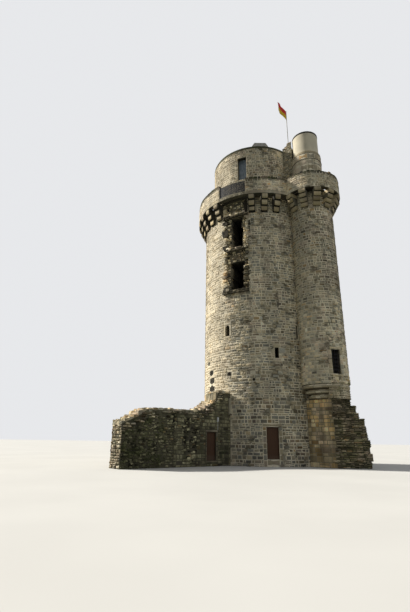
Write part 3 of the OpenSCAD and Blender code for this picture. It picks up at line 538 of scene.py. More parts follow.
# Which material each node wears; all others wear the tower's
WEAR = {
    "floor_stone": "ground_floor first_floor second_floor third_floor wall_walk drum_floor turret_walk",
    "corbel_bed": "keep_corbels",
    "dressed_stone": "keep_lintels",
    "parapet_wall": "keep_parapet",
    "drum_wall": "upper_drum_front upper_drum_back",
    "coping_stone": "drum_coping",
    "link_core": "link_wall",
    "ring_stone": "turret_base",
    "turret_wall": "turret_wall_lower turret_wall_upper",
    "turret_corbel_bed": "turret_corbels",
    "turret_parapet": "turret_parapet",
    "cap_drum": "turret_drum",
    "cap_plaster": "turret_cap",
    "stub_core": "curtain_stub",
    "curtain_core": "curtain_wall_near curtain_wall_over_door curtain_wall_far",
    "iron_paint": "parapet_railing turret_grille",
    "roof_sheet": "drum_roof roof_hatch",
    "pole_paint": "flagpole",
    "glazed_door": "drum_door",
    "door_boards": "keep_door_frame keep_door_leaf curtain_door_frame curtain_door_leaf",
}


def paint_nodes():
    wear = {node: material for material, names in WEAR.items() for node in names.split()}
    for name, node in nodes.items():
        for slot in node.material_slots:
            slot.material = M[wear.get(name, "keep_wall")]


class RoundFace:
    """Face of a round wall: u is the distance round it from its front, v the height, d the distance out."""

    def __init__(self, centre, radius):
        self.centre, self.radius = centre, radius
        self.full = math.pi * radius

    def __call__(self, u, v, d=0.0):
        return polar(self.centre, self.radius + d, u / self.radius, v)

    def u(self, az):
        return math.radians(az) * self.radius

    def hole(self, az, width, low, high):
        half = math.asin(width / 2 / self.radius)
        a = math.radians(az)
        return ((a - half) * self.radius, (a + half) * self.radius, low, high)


class FlatFace:
    """Face of a flat wall: u runs along it from a corner, v is the height, d the distance out."""
    radius = None

    def __init__(self, corner, direction, normal):
        self.corner, self.direction, self.normal = corner, direction, normal

    def __call__(self, u, v, d):
        return self.corner + self.direction * u + self.normal * d + Vector((0, 0, v))


# How stones are laid: their length, how far they stand out, the joint, how rough their corners are, the share
# that is missing, the spread of their tones, their brightness, the sway of a course, the share of halved
# stones, and the length that the sway goes by, which on a round wall is its radius
LAYS = {
    "keep": ((0.16, 0.54), (0.006, 0.040), 0.032, 0.014, 0.006, 1.15, 0.93, 0.03, 0.22, None),
    "scar": ((0.16, 0.42), (0.0, 0.15), 0.045, 0.04, 0.24, 2.8, 1.0, 0.03, 0.3, None),
    "parapet": ((0.28, 0.62), (0.006, 0.034), 0.031, 0.010, 0.0, 0.8, 1.05, 0.02, 0.05, None),
    "torn_lintel": ((0.14, 0.36), (0.0, 0.03), 0.03, 0.02, 0.0, 1.6, 0.8, 0.02, 0.0, 1.0),
    "drum": ((0.20, 0.46), (0.006, 0.034), 0.031, 0.010, 0.0, 0.95, 0.99, 0.02, 0.14, None),
    "turret": ((0.16, 0.48), (0.012, 0.036), 0.030, 0.013, 0.003, 1.15, 0.89, 0.03, 0.2, None),
    "turret_foot": ((0.14, 0.4), (0.01, 0.085), 0.02, 0.03, 0.25, 1.6, 1.2, 0.02, 0.14, None),
    "turret_parapet": ((0.22, 0.5), (0.006, 0.034), 0.031, 0.010, 0.0, 0.8, 1.0, 0.02, 0.05, None),
    "cap_drum": ((0.4, 0.85), (0.008, 0.02), 0.02, 0.006, 0.0, 0.6, 0.95, 0.02, 0.1, None),
    "torn_base": ((0.14, 0.42), (0.0, 0.055), 0.016, 0.022, 0.0, 1.3, 1.0, 0.03, 0.14, None),
    "stub_foot": ((0.4, 0.8), (0.008, 0.03), 0.018, 0.010, 0.0, 1.0, 0.82, 0.0, 0.1, None),
    "stub_face": ((0.24, 0.55), (0.008, 0.03), 0.018, 0.010, 0.0, 1.0, 1.05, 0.0, 0.1, None),
    "stub_torn": ((0.22, 0.75), (0.0, 0.13), 0.014, 0.022, 0.0, 1.3, 1.0, 0.012, 0.15, 1.0),
    "stub_side": ((0.22, 0.75), (0.0, 0.05), 0.014, 0.022, 0.0, 1.3, 1.0, 0.012, 0.15, 1.0),
    "link": ((0.16, 0.4), (0.0, 0.05), 0.02, 0.02, 0.0, 1.2, 1.1, 0.02, 0.14, 1.0),
    "curtain": ((0.2, 0.5), (0.004, 0.03), 0.02, 0.014, 0.03, 1.6, 1.0, 0.02, 0.14, 1.4),
    "curtain_far": ((0.14, 0.40), (0.0, 0.07), 0.025, 0.028, 0.06, 2.0, 1.0, 0.03, 0.2, 1.4),
    "curtain_ragged": ((0.14, 0.34), (0.0, 0.09), 0.03, 0.03, 0.32, 2.4, 0.60, 0.02, 0.14, 1.0),
    "curtain_band": ((0.14, 0.42), (0.01, 0.20), 0.02, 0.035, 0.15, 2.0, 0.95, 0.03, 0.2, 1.0),
    "curtain_back": ((0.2, 0.5), (0.004, 0.03), 0.02, 0.014, 0.02, 1.1, 1.0, 0.02, 0.14, 1.4),
    "curtain_end": ((0.16, 0.42), (0.0, 0.10), 0.02, 0.03, 0.0, 1.2, 1.0, 0.02, 0.2, 1.0),
}
# A hole takes a course's stones when it covers this share of the course's height
HOLE_SHARE = 0.3
# Stones reach this far into the wall, and no stretch shorter than this is filled
EMBED = 0.02
SHORTEST = 0.04
CHAMFER = 0.022


def spans_free(u0, u1, holes, v0, v1):
    """The stretches of a course that no hole takes. A hole is (u0, u1, v0, v1)."""
    spans = [(u0, u1)]
    for a, b, low, high in holes:
        if min(high, v1) - max(low, v0) >= HOLE_SHARE * (v1 - v0):
            parts = [part for s, e in spans for part in ((s, min(a, e)), (max(b, s), e))]
            spans = [(s, e) for s, e in parts if e > s]
    return spans


def course_line(level, fixed, rng, radius, sway):
    """Height along a course's edge: it wanders a little, and closes round the wall."""
    if fixed or not sway:
        return lambda u: level
    waves = [(rng.randint(*turns) / radius, rng.random() * 6.3, sway * rng.uniform(*size))
             for turns, size in (((3, 9), (0.3, 0.7)), ((11, 31), (0.2, 0.4)))]
    return lambda u: level + sum(size * math.sin(u * turn + start) for turn, start, size in waves)


# Stones as small raised blocks and rocks
class StoneMesh:
    def __init__(self, name, seed, material, slot="ashlar"):
        self.name, self.material, self.slot = name, material, slot
        self.points, self.faces, self.tone, self.hue = [], [], [], []
        self.rng = random.Random(seed)

    def shade(self, count, spread, gain):
        """Gives the last faces one tone and one hue. A few stones are much darker or paler."""
        r = self.rng
        tone = gain * (1.0 + spread * 0.56 * (r.random() + r.random() - 1.0))
        pick = r.random()
        if pick < 0.08:
            tone *= 1.0 - 0.38 * min(spread, 1.0)
        elif pick > 0.93:
            tone *= 1.0 + 0.3 * min(spread, 1.0)
        hue = r.random()
        self.tone += [tone] * count
        self.hue += [hue] * count

    def shake(self, amount):
        return (self.rng.random() - 0.5) * 2 * amount

    def levels(self, z0, z1, course, breaks=()):
        """Course heights that also meet the given levels, and whether each must stay level."""
        marks = sorted({z0, z1, *[b for b in breaks if z0 < b < z1]})
        out = [(z0, True)]
        for a, b in zip(marks, marks[1:]):
            weights = [1 + (self.rng.random() - 0.5) * 0.6 for _ in range(max(1, round((b - a) / course)))]
            z = a
            for w in weights[:-1]:
                z += (b - a) * w / sum(weights)
                out.append((z, False))
            out.append((b, True))
        return out

    def block(self, place, u0, u1, low, high, proud, joint, rough, spread, gain):
        """Stone between two course lines, low(u) and high(u)."""
        first = len(self.points)
        gap = joint / 2
        edge = min(CHAMFER, (u1 - u0) * 0.2, (high(u0) - low(u0)) * 0.2)
        corners = [(u + su * (gap + abs(self.shake(rough))), v + sv * (gap + abs(self.shake(rough))), su, sv)
                   for u, v, su, sv in ((u0, low(u0), 1, 1), (u1, low(u1), -1, 1),
                                        (u1, high(u1), -1, -1), (u0, high(u0), 1, -1))]
        for u, v, su, sv in corners:
            self.points.append(place(u, v, -EMBED))
        for u, v, su, sv in corners:
            self.points.append(place(u + su * edge, v + sv * edge, proud + self.shake(rough * 0.6)))
        mid = (u0 + u1) / 2
        self.points.append(place(mid + self.shake((u1 - u0) * 0.15),
                                 (low(mid) + high(mid)) / 2 + self.shake((high(mid) - low(mid)) * 0.15),
                                 proud + rough * 0.5 + abs(self.shake(rough))))
        for i in range(4):
            j = (i + 1) % 4
            self.faces.append((first + i, first + j, first + 4 + j, first + 4 + i))
            self.faces.append((first + 4 + i, first + 4 + j, first + 8))
        self.shade(8, spread, gain)

    def single(self, place, area, proud=0.03, gain=1.0, spread=0.5, joint=0.02, rough=0.006):
        """One stone over an area (u0, u1, v0, v1)."""
        u0, u1, v0, v1 = area
        self.block(place, u0, u1, lambda u: v0, lambda u: v1, proud, joint, rough, spread, gain)

    def lay(self, style, face, u0, u1, levels, holes=(), hidden=None):
        """Lays stones in courses. hidden(u, v) tells where another mass covers the wall."""
        r = self.rng
        length, proud, joint, rough, missing, spread, gain, sway, halves, ripple = LAYS[style]
        lines = [course_line(z, fixed, r, ripple or face.radius, sway) for z, fixed in levels]
        for (v0, _), (v1, _), low, high in zip(levels, levels[1:], lines, lines[1:]):
            def middle(w, low=low, high=high):
                return (low(w) + high(w)) / 2
            for s, e in spans_free(u0, u1, holes, v0, v1):
                if e - s < SHORTEST:
                    continue
                u = s
                while u < e - 1e-6:
                    step = r.uniform(*length) * (r.uniform(0.5, 1.0) if u == s else 1.0)
                    if e - (u + step) < length[0] * 0.6:
                        step = e - u
                    if (hidden is None or not hidden(u + step / 2, (v0 + v1) / 2)) and r.random() >= missing:
                        if r.random() < halves:
                            for a, b in ((low, middle), (middle, high)):
                                self.block(face, u, u + step, a, b, r.uniform(*proud), joint * 0.7, rough * 0.6,
                                           spread, gain)
                        else:
                            self.block(face, u, u + step, low, high, r.uniform(*proud), joint, rough, spread, gain)
                    u += step

    def rock(self, centre, size, axes, squareness, spread=1.0, gain=1.0):
        """Irregular stone on a 3 by 3 by 3 lattice; axes are its three directions."""
        r = self.rng
        index = {}
        for at in product((-1, 0, 1), repeat=3):
            if any(at):
                p = Vector(at)
                p = p * squareness + p.normalized() * (1 - squareness)
                p += Vector([(r.random() - 0.5) * 0.3 for _ in range(3)])
                index[at] = len(self.points)
                self.points.append(centre + axes[0] * (p.x * size[0] / 2)
                                   + axes[1] * (p.y * size[1] / 2) + axes[2] * (p.z * size[2] / 2))
        for axis, end, a, b in product(range(3), (-1, 1), (-1, 0), (-1, 0)):
            quad = []
            for at in ([a, b], [a + 1, b], [a + 1, b + 1], [a, b + 1]):
                at.insert(axis, end)
                quad.append(index[tuple(at)])
            if (axis == 1) == (end == 1):
                quad.reverse()
            self.faces.append(tuple(quad))
        self.shade(24, spread, gain)

    def strip(self, sections, spread):
        """Closed solid through equal rings of points, capped at both ends."""
        first = len(self.points)
        n = len(sections[0])
        last = first + (len(sections) - 1) * n
        for ring in sections:
            self.points += ring
        for a in range(first, last, n):
            for i in range(n):
                j = (i + 1) % n
                self.faces.append((a + i, a + j, a + n + j, a + n + i))
        self.faces.append(tuple(first + i for i in reversed(range(n))))
        self.faces.append(tuple(last + i for i in range(n)))
        self.shade((len(sections) - 1) * n + 2, spread, 1.0)

    def build(self):
        mesh = bpy.data.meshes.new(self.name)
        inside = [tuple(min(max(p[k], BOX_LOW[k]), BOX_HIGH[k]) for k in range(3)) for p in self.points]
        mesh.from_pydata(inside, [], self.faces)
        for key, values in (("tone", self.tone), ("hue", self.hue)):
            mesh.attributes.new(key, "FLOAT", "FACE").data.foreach_set("value", values)
        mesh.materials.append(M[self.material])
        mesh.update()
        piece = add_object(self.name, mesh)
        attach(piece, "root")


# The main tower
def keep_hidden(u, v):
    """Where the turret, the stub or the curtain wall stands against the keep."""
    p = polar(KEEP, KEEP_R, u / KEEP_R)
    if v > TURRET_FOOT and (p - TURRET).length < TURRET_R - 0.04:
        return True
    if STUB_TOP < v < TURRET_FOOT and (p - TURRET).length < TURRET_R - 0.5:
        return True
    if v < STUB_TOP and abs(p.dot(LATERAL)) < STUB_SIDE - 0.03 and p.dot(OUTWARD) > 0:
        return True
    q = p - CURTAIN_AT
    return v < 5.1 and q.dot(CURTAIN_X) < 1.2 and 0.03 < q.dot(CURTAIN_IN) < CURTAIN_T - 0.03 and p.x < 0


# Pockets beside the torn strip, laid as near-black stones for their painted shade: azimuth, height, width and
# tallness
SOCKETS = ((-43.9, 20.15, 0.42, 0.36), (-44.2, 19.10, 0.48, 0.62), (-44.0, 17.75, 0.34, 0.36),
           (-44.0, 13.55, 0.4, 0.4), (-44.3, 21.3, 0.5, 0.3), (-16.3, 14.25, 0.18, 0.22), (-16.2, 14.78, 0.2, 0.2),
           (-16.3, 15.3, 0.16, 0.24), (-15.9, 18.0, 0.2, 0.16), (-15.4, 19.65, 0.24, 0.62))
# Distances round the wall of the door's surround and of its opening
DOOR_U = (math.asin(-0.73 / KEEP_R) * KEEP_R, math.asin(0.68 / KEEP_R) * KEEP_R)
LEAF_U = (math.asin(-0.47 / KEEP_R) * KEEP_R, math.asin(0.42 / KEEP_R) * KEEP_R)
DOOR_SILL, DOOR_HEAD, SURROUND_TOP = 0.48, 2.70, 2.94
HOLE_SHADE_TONE = 0.05


def keep_stones():
    face = RoundFace(KEEP, KEEP_R)
    slit, arch = face.hole(*SLIT), face.hole(*ARCH)
    left, right, foot, head = slit
    dressed = [(left - 0.13, right + 0.13, head, 8.86), (left - 0.10, right + 0.16, 7.55, foot),
               (right, right + 0.52, 8.10, head), (left - 0.30, left, 7.95, 8.45)]
    left, right, foot, head = arch
    dressed += [(left - 0.20, right + 0.20, head, 10.85), (left - 0.10, right + 0.10, 9.5, foot),
                (left - 0.18, left, foot, head), (right, right + 0.20, foot, head)]
    scar = (face.u(SCAR_AZ[0]), face.u(SCAR_AZ[1]), SCAR_FOOT, Z_WALK)
    holes = [DOOR_U + (0.0, SURROUND_TOP), slit, arch, face.hole(*CORNER_SLIT), scar] + dressed
    hole_shade = []
    for az, z, wide, high in PUTLOGS:
        low, top = z - PUTLOG / 2, z + PUTLOG / 2
        inner = face.hole(az, PUTLOG, low, top)
        outer = face.hole(az, PUTLOG + 2 * wide, low - high, top + high)
        holes.append(outer)
        hole_shade += [(outer[0], inner[0]) + outer[2:], (inner[1], outer[1]) + outer[2:],
                 inner[:2] + (outer[2], inner[2]), inner[:2] + (inner[3], outer[3])]
    sockets = [(face.u(az) - wide / 2, face.u(az) + wide / 2, z - high / 2, z + high / 2)
               for az, z, wide, high in SOCKETS]
    holes += sockets
    breaks = [SURROUND_TOP, 7.55, *SLIT[2:], 8.86, 9.5, *ARCH[2:], SCAR_FOOT, 18.6, 19.4]
    for name, low, top, seed, course in (("ground", 0.0, FIRST, 11, 0.235), ("first", FIRST, SECOND, 12, 0.225),
                                         ("second", SECOND, THIRD, 13, 0.225), ("third", THIRD, Z_WALK, 14, 0.225)):
        mesh = StoneMesh("keep_stones_" + name, seed, "keep_stone")
        mesh.lay("keep", face, -face.full, face.full, mesh.levels(low, top, course, breaks), holes, keep_hidden)
        if low == FIRST:
            for area in dressed:
                mesh.single(face, area, 0.03, mesh.rng.uniform(1.15, 1.4))
        # Near-black stones round the putlog holes and in the pockets: painted shade of the hollows.
        for areas, proud, rough in ((hole_shade, 0.004, 0.012), (sockets, 0.012, 0.04)):
            for area in areas:
                if low < (area[2] + area[3]) / 2 < top:
                    mesh.single(face, area, proud, HOLE_SHADE_TONE, 0.3, 0.004, rough)
        mesh.build()
    mesh = StoneMesh("keep_door_stones", 15, "keep_stone", "pale_ashlar")
    sides = [0.0, 0.42, 0.80, 1.22, 1.60, 2.05, 2.45, DOOR_HEAD]
    for v0, v1 in zip(sides, sides[1:]):
        mesh.single(face, (DOOR_U[0], LEAF_U[0] - 0.004, v0, v1), 0.018)
        mesh.single(face, (LEAF_U[1] + 0.004, DOOR_U[1], v0, v1), 0.018)
    mesh.single(face, LEAF_U + (0.10, DOOR_SILL), 0.012, 0.9)
    mesh.single(face, DOOR_U + (DOOR_HEAD, SURROUND_TOP), 0.03, 1.05)
    mesh.build()


# Broken window openings in the torn strip: foot, head and width; and the courses of its ledges
SCAR_MIDDLE = -28.8
SCAR_GAPS = ((SCAR_FOOT, 16.1, 1.16), (17.35, 20.3, 0.96))
SCAR_LEDGES = ((SCAR_FOOT - 0.25, SCAR_FOOT), (17.1, 17.35), (20.36, 20.61))
# Pockets and a shadowed gap in the torn strip, laid as near-black rocks for their painted shade: azimuth, height,
# width and tallness
SHADE_POCKETS = ((-42.0, 20.05, 0.50, 0.42), (-42.0, 19.05, 0.56, 0.66), (-41.6, 17.55, 0.5, 0.36),
                (-42.2, 13.72, 0.5, 0.34), (-18.4, 21.3, 0.3, 1.3))


def scar_stones():
    """Torn strip: rough core stones, stones left on the ledges and ragged stones at its sides."""
    left, right = SCAR_AZ
    mesh = StoneMesh("scar_stones", 41, "scar_stone", "rubble")
    r = mesh.rng
    face = RoundFace(KEEP, KEEP_R - SCAR_DEPTH)
    edges = (face.u(left), face.u(right))
    holes = [face.hole(SCAR_MIDDLE, w + 0.1, low, high) for low, high, w in SCAR_GAPS]
    holes += [edges + ledge for ledge in SCAR_LEDGES]
    mesh.lay("scar", face, *edges, mesh.levels(SCAR_FOOT, Z_WALK, 0.22, [16.1, 17.35, 20.36, 20.61]), holes)
    ledges = [(SCAR_FOOT, left, right, (0.08, 0.14, 0.4)), (17.35, left + 4, right, (0.5, 0.9, 1.2)),
              (20.61, left, right, (0.3, 0.55, 0.95))]
    for z, a0, a1, tones in ledges:
        az = a0 + 0.6
        while az < a1 - 0.6:
            if not any(abs(az - SCAR_MIDDLE) < 6.6 and abs(low - z) < 0.2 for low, high, w in SCAR_GAPS):
                size = (r.uniform(0.16, 0.40), r.uniform(0.18, 0.28), r.uniform(0.10, 0.30))
                at = at_round(KEEP, KEEP_R + r.uniform(0.0, 0.10), az, z + size[2] * 0.40)
                mesh.rock(at, size, frame_at(az), 0.6, 0.8, r.choice(tones))
            az += r.uniform(1.8, 4.2)
    for az, z, top, tones in ((left + 0.7, 13.7, 21.8, (0.7, 0.95, 1.05)),
                              (right - 0.9, 16.3, 20.5, (0.2, 0.5, 0.7, 0.9))):
        while z < top:
            high = r.uniform(0.14, 0.26)
            reach = r.uniform(-0.10, 0.03)
            at = at_round(KEEP, KEEP_R + reach, az + r.uniform(-0.5, 0.9), z + high / 2)
            size = (r.uniform(0.16, 0.42), 0.30, high)
            tone = r.choice(tones)
            if not any(abs(az - a) < 2 and abs(z + high / 2 - mid) < (high + tall) / 2
                       for a, mid, wide, tall in SHADE_POCKETS):
                mesh.rock(at, size, frame_at(az), 0.75, 1.0, tone)
            z += high * r.uniform(1.0, 1.5)
    # Near-black rocks in the pockets: painted shade.
    for az, z, wide, tall in SHADE_POCKETS:
        mesh.rock(at_round(KEEP, KEEP_R - 0.13, az, z), (wide, 0.34, tall), frame_at(az), 0.85, 0.3, 0.045)
    mesh.build()
    mesh = StoneMesh("scar_ledges", 42, "scar_stone", "rubble")
    r = mesh.rng
    band = RoundFace(KEEP, KEEP_R + 0.21)
    tops = ledges + [(14.0 + 0.5 * i, right - 4, right, (0.25, 0.5, 0.9)) for i in range(4)]
    for z, a0, a1, tones in tops:
        u, end = band.u(a0 - 0.5), band.u(a1 + 0.5)
        while u < end - 0.05:
            step = min(r.uniform(0.16, 0.46), end - u)
            low = z - r.uniform(0.10, 0.22)
            mesh.single(band, (u, u + step, low, z + r.uniform(-0.03, 0.07)), r.uniform(0.0, 0.07),
                        0.10 if math.degrees(u / band.radius) < -37.5 else r.choice(tones), 0.6, 0.04, 0.03)
            # A dark strip under each ledge: painted shade.
            mesh.single(band, (u, u + step, z - 0.25, low), 0.006, r.choice((0.10, 0.16, 0.4)), 0.6, 0.02, 0.02)
            u += step
    mesh.build()


def corbel_stones(mesh, centre, azimuths, base_r, courses, rise, step, inset, gap):
    """Every corbel course as one stone with a rounded nose, a little proud of the corbel's core."""
    width, proud, soft = 0.58, 0.016, 0.016
    nose = step * 0.9
    for az in azimuths:
        side, out, up = frame_at(az)
        for i in range(1, courses + 1):
            top = Z_WALK - 0.0005 + (i - courses) * rise
            low = top - rise
            reach = base_r + i * step + proud + mesh.shake(0.010)
            shift = mesh.shake(0.008)
            half = width / 2 - inset + mesh.shake(0.012)
            line = [(base_r - 0.02, top - gap), (reach - soft, top - gap), (reach, top - gap - soft)]
            for k in range(7):
                a = math.radians(90 * k / 6)
                line.append((reach - nose + nose * math.cos(a), low + nose - (nose - gap * 0.4) * math.sin(a)))
            line.append((base_r - 0.02, low + gap * 0.4))
            middle = ((base_r + reach) / 2, (top + low) / 2)
            sections = []
            for x, pull in ((-half, 0.06), (-half + soft, 0.0), (0.0, -0.008), (half - soft, 0.0), (half, 0.06)):
                ring = []
                for d, z in line:
                    d, z = d + (middle[0] - d) * pull, z + (middle[1] - z) * pull
                    ring.append(Vector((centre[0], centre[1], 0)) + side * (x + shift) + out * d + up * z)
                sections.append(ring)
            mesh.strip(sections, 0.55)


def crown(mesh, centre, radius, depth, az0, az1, height=(0.15, 0.25)):
    """Uneven mossy stones along the top of a round parapet."""
    r = mesh.rng

    def place(u, v, d):
        return polar(centre, radius - v, u / radius, PARAPET_TOP + d)
    u, end = math.radians(az0) * radius, math.radians(az1) * radius
    while u < end - 0.05:
        step = min(r.uniform(0.18, 0.45), end - u)
        mesh.single(place, (u, u + step, -0.01, depth), r.uniform(*height), 0.9, 0.45, 0.004, 0.012)
        u += step


def ring_of_lintels(mesh, place, az0, az1, pitch, az):
    """One course of long stones with their joints at a fixed pitch, which starts at az."""
    while az < az1:
        a, b = max(az, az0), min(az + pitch, az1)
        if b - a > 0.6:
            mesh.single(place, (place.u(a), place.u(b), Z_WALK, LINTEL_TOP), 0.012 + mesh.shake(0.006),
                        mesh.rng.uniform(0.9, 1.1))
        az += pitch


def beside_link(face, half):
    """Where the broken wall between the drums stands against one of them."""
    def covered(u, v):
        p = face(u, 0.0)
        return abs(p.dot(LATERAL)) < half and 0 < p.dot(OUTWARD) < TURRET_OUT
    return covered


# Azimuths of the parapet's two parts, which end at the torn strip and at the turret
PARAPET_PARTS = ((-17, 20.4), (70.8, 317))
CORBEL_PITCH = 12
TURRET_PART = (-63.4, 154.6)
TURRET_PITCH = 30
LIP = 0.03


def upper_stones():
    """Corbels, lintels and parapet of the main tower, and its upper drum."""
    mesh = StoneMesh("keep_corbel_stones", 31, "corbel_stone", "pale_ashlar")
    corbel_stones(mesh, KEEP, [-12, 0, 12] + [84 + CORBEL_PITCH * i for i in range(20)], KEEP_R, courses=3, rise=0.48,
                  step=0.25, inset=0.05, gap=0.038)
    mesh.build()
    mesh = StoneMesh("parapet_stones", 32, "parapet_stone")
    face = RoundFace(KEEP, PARAPET_R)
    for a0, a1 in PARAPET_PARTS:
        mesh.lay("parapet", face, face.u(a0), face.u(a1), mesh.levels(LINTEL_TOP, PARAPET_TOP, 0.2))
    mesh.build()
    mesh = StoneMesh("keep_lintel_stones", 33, "pale_stone", "pale_ashlar")
    face = RoundFace(KEEP, PARAPET_R + LIP)
    ring_of_lintels(mesh, face, *PARAPET_PARTS[0], CORBEL_PITCH, -24)
    mesh.lay("torn_lintel", face, face.u(SCAR_AZ[0]), face.u(SCAR_AZ[1]), mesh.levels(Z_WALK, LINTEL_TOP, 0.14))
    ring_of_lintels(mesh, face, *PARAPET_PARTS[1], CORBEL_PITCH, 60)
    mesh.build()
    mesh = StoneMesh("parapet_crown", 34, "mossy_stone", "rubble")
    for a0, a1 in ((-17, 20.6), (70.6, 317)):
        crown(mesh, KEEP, PARAPET_R + 0.02, 0.42, a0, a1)
    crown(mesh, TURRET, TURRET_PARAPET_R + 0.02, 0.36, -63, 154, (0.07, 0.20))
    mesh.build()
    mesh = StoneMesh("drum_stones", 35, "drum_stone")
    face = RoundFace(KEEP, DRUM_R)
    mesh.lay("drum", face, -face.full, face.full, mesh.levels(WALK_TOP, DRUM_TOP, 0.22, DRUM_DOOR[2:]),
             [face.hole(*DRUM_DOOR)], beside_link(face, 0.88))
    mesh.build()


# The stair turret
JAMB = 0.36
TURRET_FACE = RoundFace(TURRET, TURRET_R)


def turret_hidden(u, v):
    return TURRET_FACE(u, 0.0).length < KEEP_R - 0.03


def turret_stones():
    face = TURRET_FACE
    window = face.hole(*TURRET_WINDOW)
    left, right, sill, head = window
    dressed = [(left - 0.14, right + 0.14, head, 8.50), (left - 0.12, right + 0.12, 6.22, sill)]
    z = sill
    while z < head - 0.05:
        dressed += [(left - 0.30, left, z, z + JAMB), (right, right + 0.28, z, z + JAMB)]
        z += JAMB
    for name, low, high, seed in (("lower", TURRET_FOOT, SECOND, 21), ("upper", SECOND, Z_WALK, 22)):
        mesh = StoneMesh("turret_stones_" + name, seed, "turret_stone")
        mesh.lay("turret", face, -face.full, face.full, mesh.levels(low, high, 0.225, [6.22, sill, head, 8.50]),
                 [window] + dressed, turret_hidden)
        if low == TURRET_FOOT:
            for area in dressed:
                mesh.single(face, area, 0.032, mesh.rng.uniform(0.7, 1.0))
        mesh.build()
    mesh = StoneMesh("turret_foot_stones", 28, "stub_rubble", "rubble")
    mesh.lay("turret_foot", face, face.u(-2), face.u(128), mesh.levels(TURRET_FOOT, TURRET_FOOT + 0.62, 0.15),
             hidden=turret_hidden)
    mesh.build()
    mesh = StoneMesh("turret_corbel_stones", 23, "corbel_stone", "pale_ashlar")
    corbel_stones(mesh, TURRET, [TURRET_PITCH * i for i in range(-2, 6)], TURRET_R, courses=4, rise=0.36,
                  step=0.19, inset=0.0, gap=0.018)
    mesh.build()
    mesh = StoneMesh("turret_parapet_stones", 24, "parapet_stone")
    face = RoundFace(TURRET, TURRET_PARAPET_R)
    mesh.lay("turret_parapet", face, face.u(TURRET_PART[0]), face.u(TURRET_PART[1]),
             mesh.levels(LINTEL_TOP, PARAPET_TOP, 0.2))
    mesh.build()
    mesh = StoneMesh("turret_lintel_stones", 25, "pale_stone", "pale_ashlar")
    ring_of_lintels(mesh, RoundFace(TURRET, TURRET_PARAPET_R + LIP), *TURRET_PART, TURRET_PITCH, -90)
    mesh.build()
    mesh = StoneMesh("cap_drum_stones", 26, "pale_stone", "pale_ashlar")
    face = RoundFace(TURRET, CAP_DRUM_R)
    covered = beside_link(face, 0.85)
    # Two thin courses of near-black stones: painted shadow lines at a moulding and under the cap's plaster.
    shadow_bands = ((25.80, 25.88, 0.045), (CAP_BASE - 0.07, CAP_BASE, 0.02))
    mesh.lay("cap_drum", face, -face.full, face.full, mesh.levels(WALK_TOP, shadow_bands[1][0], 0.5, shadow_bands[0][:2]),
             hidden=covered)
    for low, high, proud in shadow_bands:
        u = -face.full
        while u < face.full - 0.02:
            step = min(0.4, face.full - u)
            if not covered(u + step / 2, low):
                mesh.single(face, (u, u + step, low, high), proud, 0.22, 0.5, 0.002, 0.004)
            u += step
    mesh.build()


def torn_base_stones():
    """Rubble under the turret where its moulded rings are gone."""
    mesh = StoneMesh("torn_base_stones", 27, "stub_rubble", "rubble")
    face = RoundFace(TURRET, TURRET_R - 0.06)
    mesh.lay("torn_base", face, face.u(-8), face.u(215), mesh.levels(STUB_TOP, TURRET_FOOT, 0.13),
             hidden=turret_hidden)
    mesh.build()


# The torn stub under the turret
STUB_NEAR, STUB_FAR, STUB_FAR_TOP = 1.98, 3.55, 2.43


def jag(i, depth):
    return depth * (math.sin(math.radians(i * 137.5)) + math.sin(math.radians(i * 61.3))) / 2


def stub_near(i):
    return KEEP_R + STUB_NEAR + jag(i + 3, 0.085)


def stub_plan(i):
    """Outline of one layer of the stub, in the same steps as in the source."""
    high = max(0.0, i / (STUB_LAYERS - 1) - 0.55) / 0.45
    near = stub_near(i)
    far = KEEP_R + STUB_FAR + jag(i, 0.17) - (STUB_FAR - STUB_FAR_TOP) * high
    plan = [(-STUB_SIDE, near), (-STUB_SIDE * 0.5, near + (far - near) * 0.2 - jag(i + 12, 0.17)),
            (0.0, (far + near) / 2 - jag(i + 9, 0.17)),
            (STUB_SIDE * 0.45, far - (far - near) * 0.15 - jag(i + 5, 0.17)), (STUB_SIDE, far),
            (STUB_SIDE, 4.6)]
    return [LATERAL * side + OUTWARD * out for side, out in plan]


def stub_stones():
    layer = STUB_TOP / STUB_LAYERS
    inner = math.sqrt(KEEP_R * KEEP_R - STUB_SIDE * STUB_SIDE)
    face = FlatFace(-LATERAL * STUB_SIDE + OUTWARD * inner, OUTWARD, -LATERAL)
    mesh = StoneMesh("stub_face_stones", 51, "stub_stone")
    plinth = 1.55
    levels = mesh.levels(0.0, STUB_TOP, 0.3, [0.75, plinth])
    for pair in zip(levels, levels[1:]):
        mid = (pair[0][0] + pair[1][0]) / 2
        mesh.lay("stub_foot" if mid < plinth else "stub_face", face, 0.01, stub_near(int(mid / layer)) - inner,
                 pair)
    mesh.build()
    mesh = StoneMesh("stub_rubble_stones", 52, "stub_rubble", "rubble")
    r = mesh.rng
    plans = [stub_plan(i) for i in range(STUB_LAYERS)]
    for i, plan in enumerate(plans):
        for k, (a, b) in enumerate(zip(plan, plan[1:])):
            direction = (b - a).normalized()
            mesh.lay("stub_side" if k == 4 else "stub_torn",
                     FlatFace(a, direction, Vector((direction.y, -direction.x, 0))), 0.0, (b - a).length,
                     mesh.levels(i * layer, (i + 1) * layer, 0.125))
    for i, plan in enumerate(plans):
        for a, b in zip(plan[:-1], plan[1:-1]):
            for _ in range(2):
                at = a.lerp(b, r.random()) - OUTWARD * r.uniform(0.05, 0.16) + UP * ((i + 1) * layer)
                mesh.rock(at, (r.uniform(0.2, 0.45), r.uniform(0.2, 0.35), r.uniform(0.08, 0.14)),
                          (LATERAL, OUTWARD, UP), 0.7)
    mesh.build()


def pole_foot():
    low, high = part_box("flagpole")
    return Vector(((low.x + high.x) / 2, (low.y + high.y) / 2, 0))


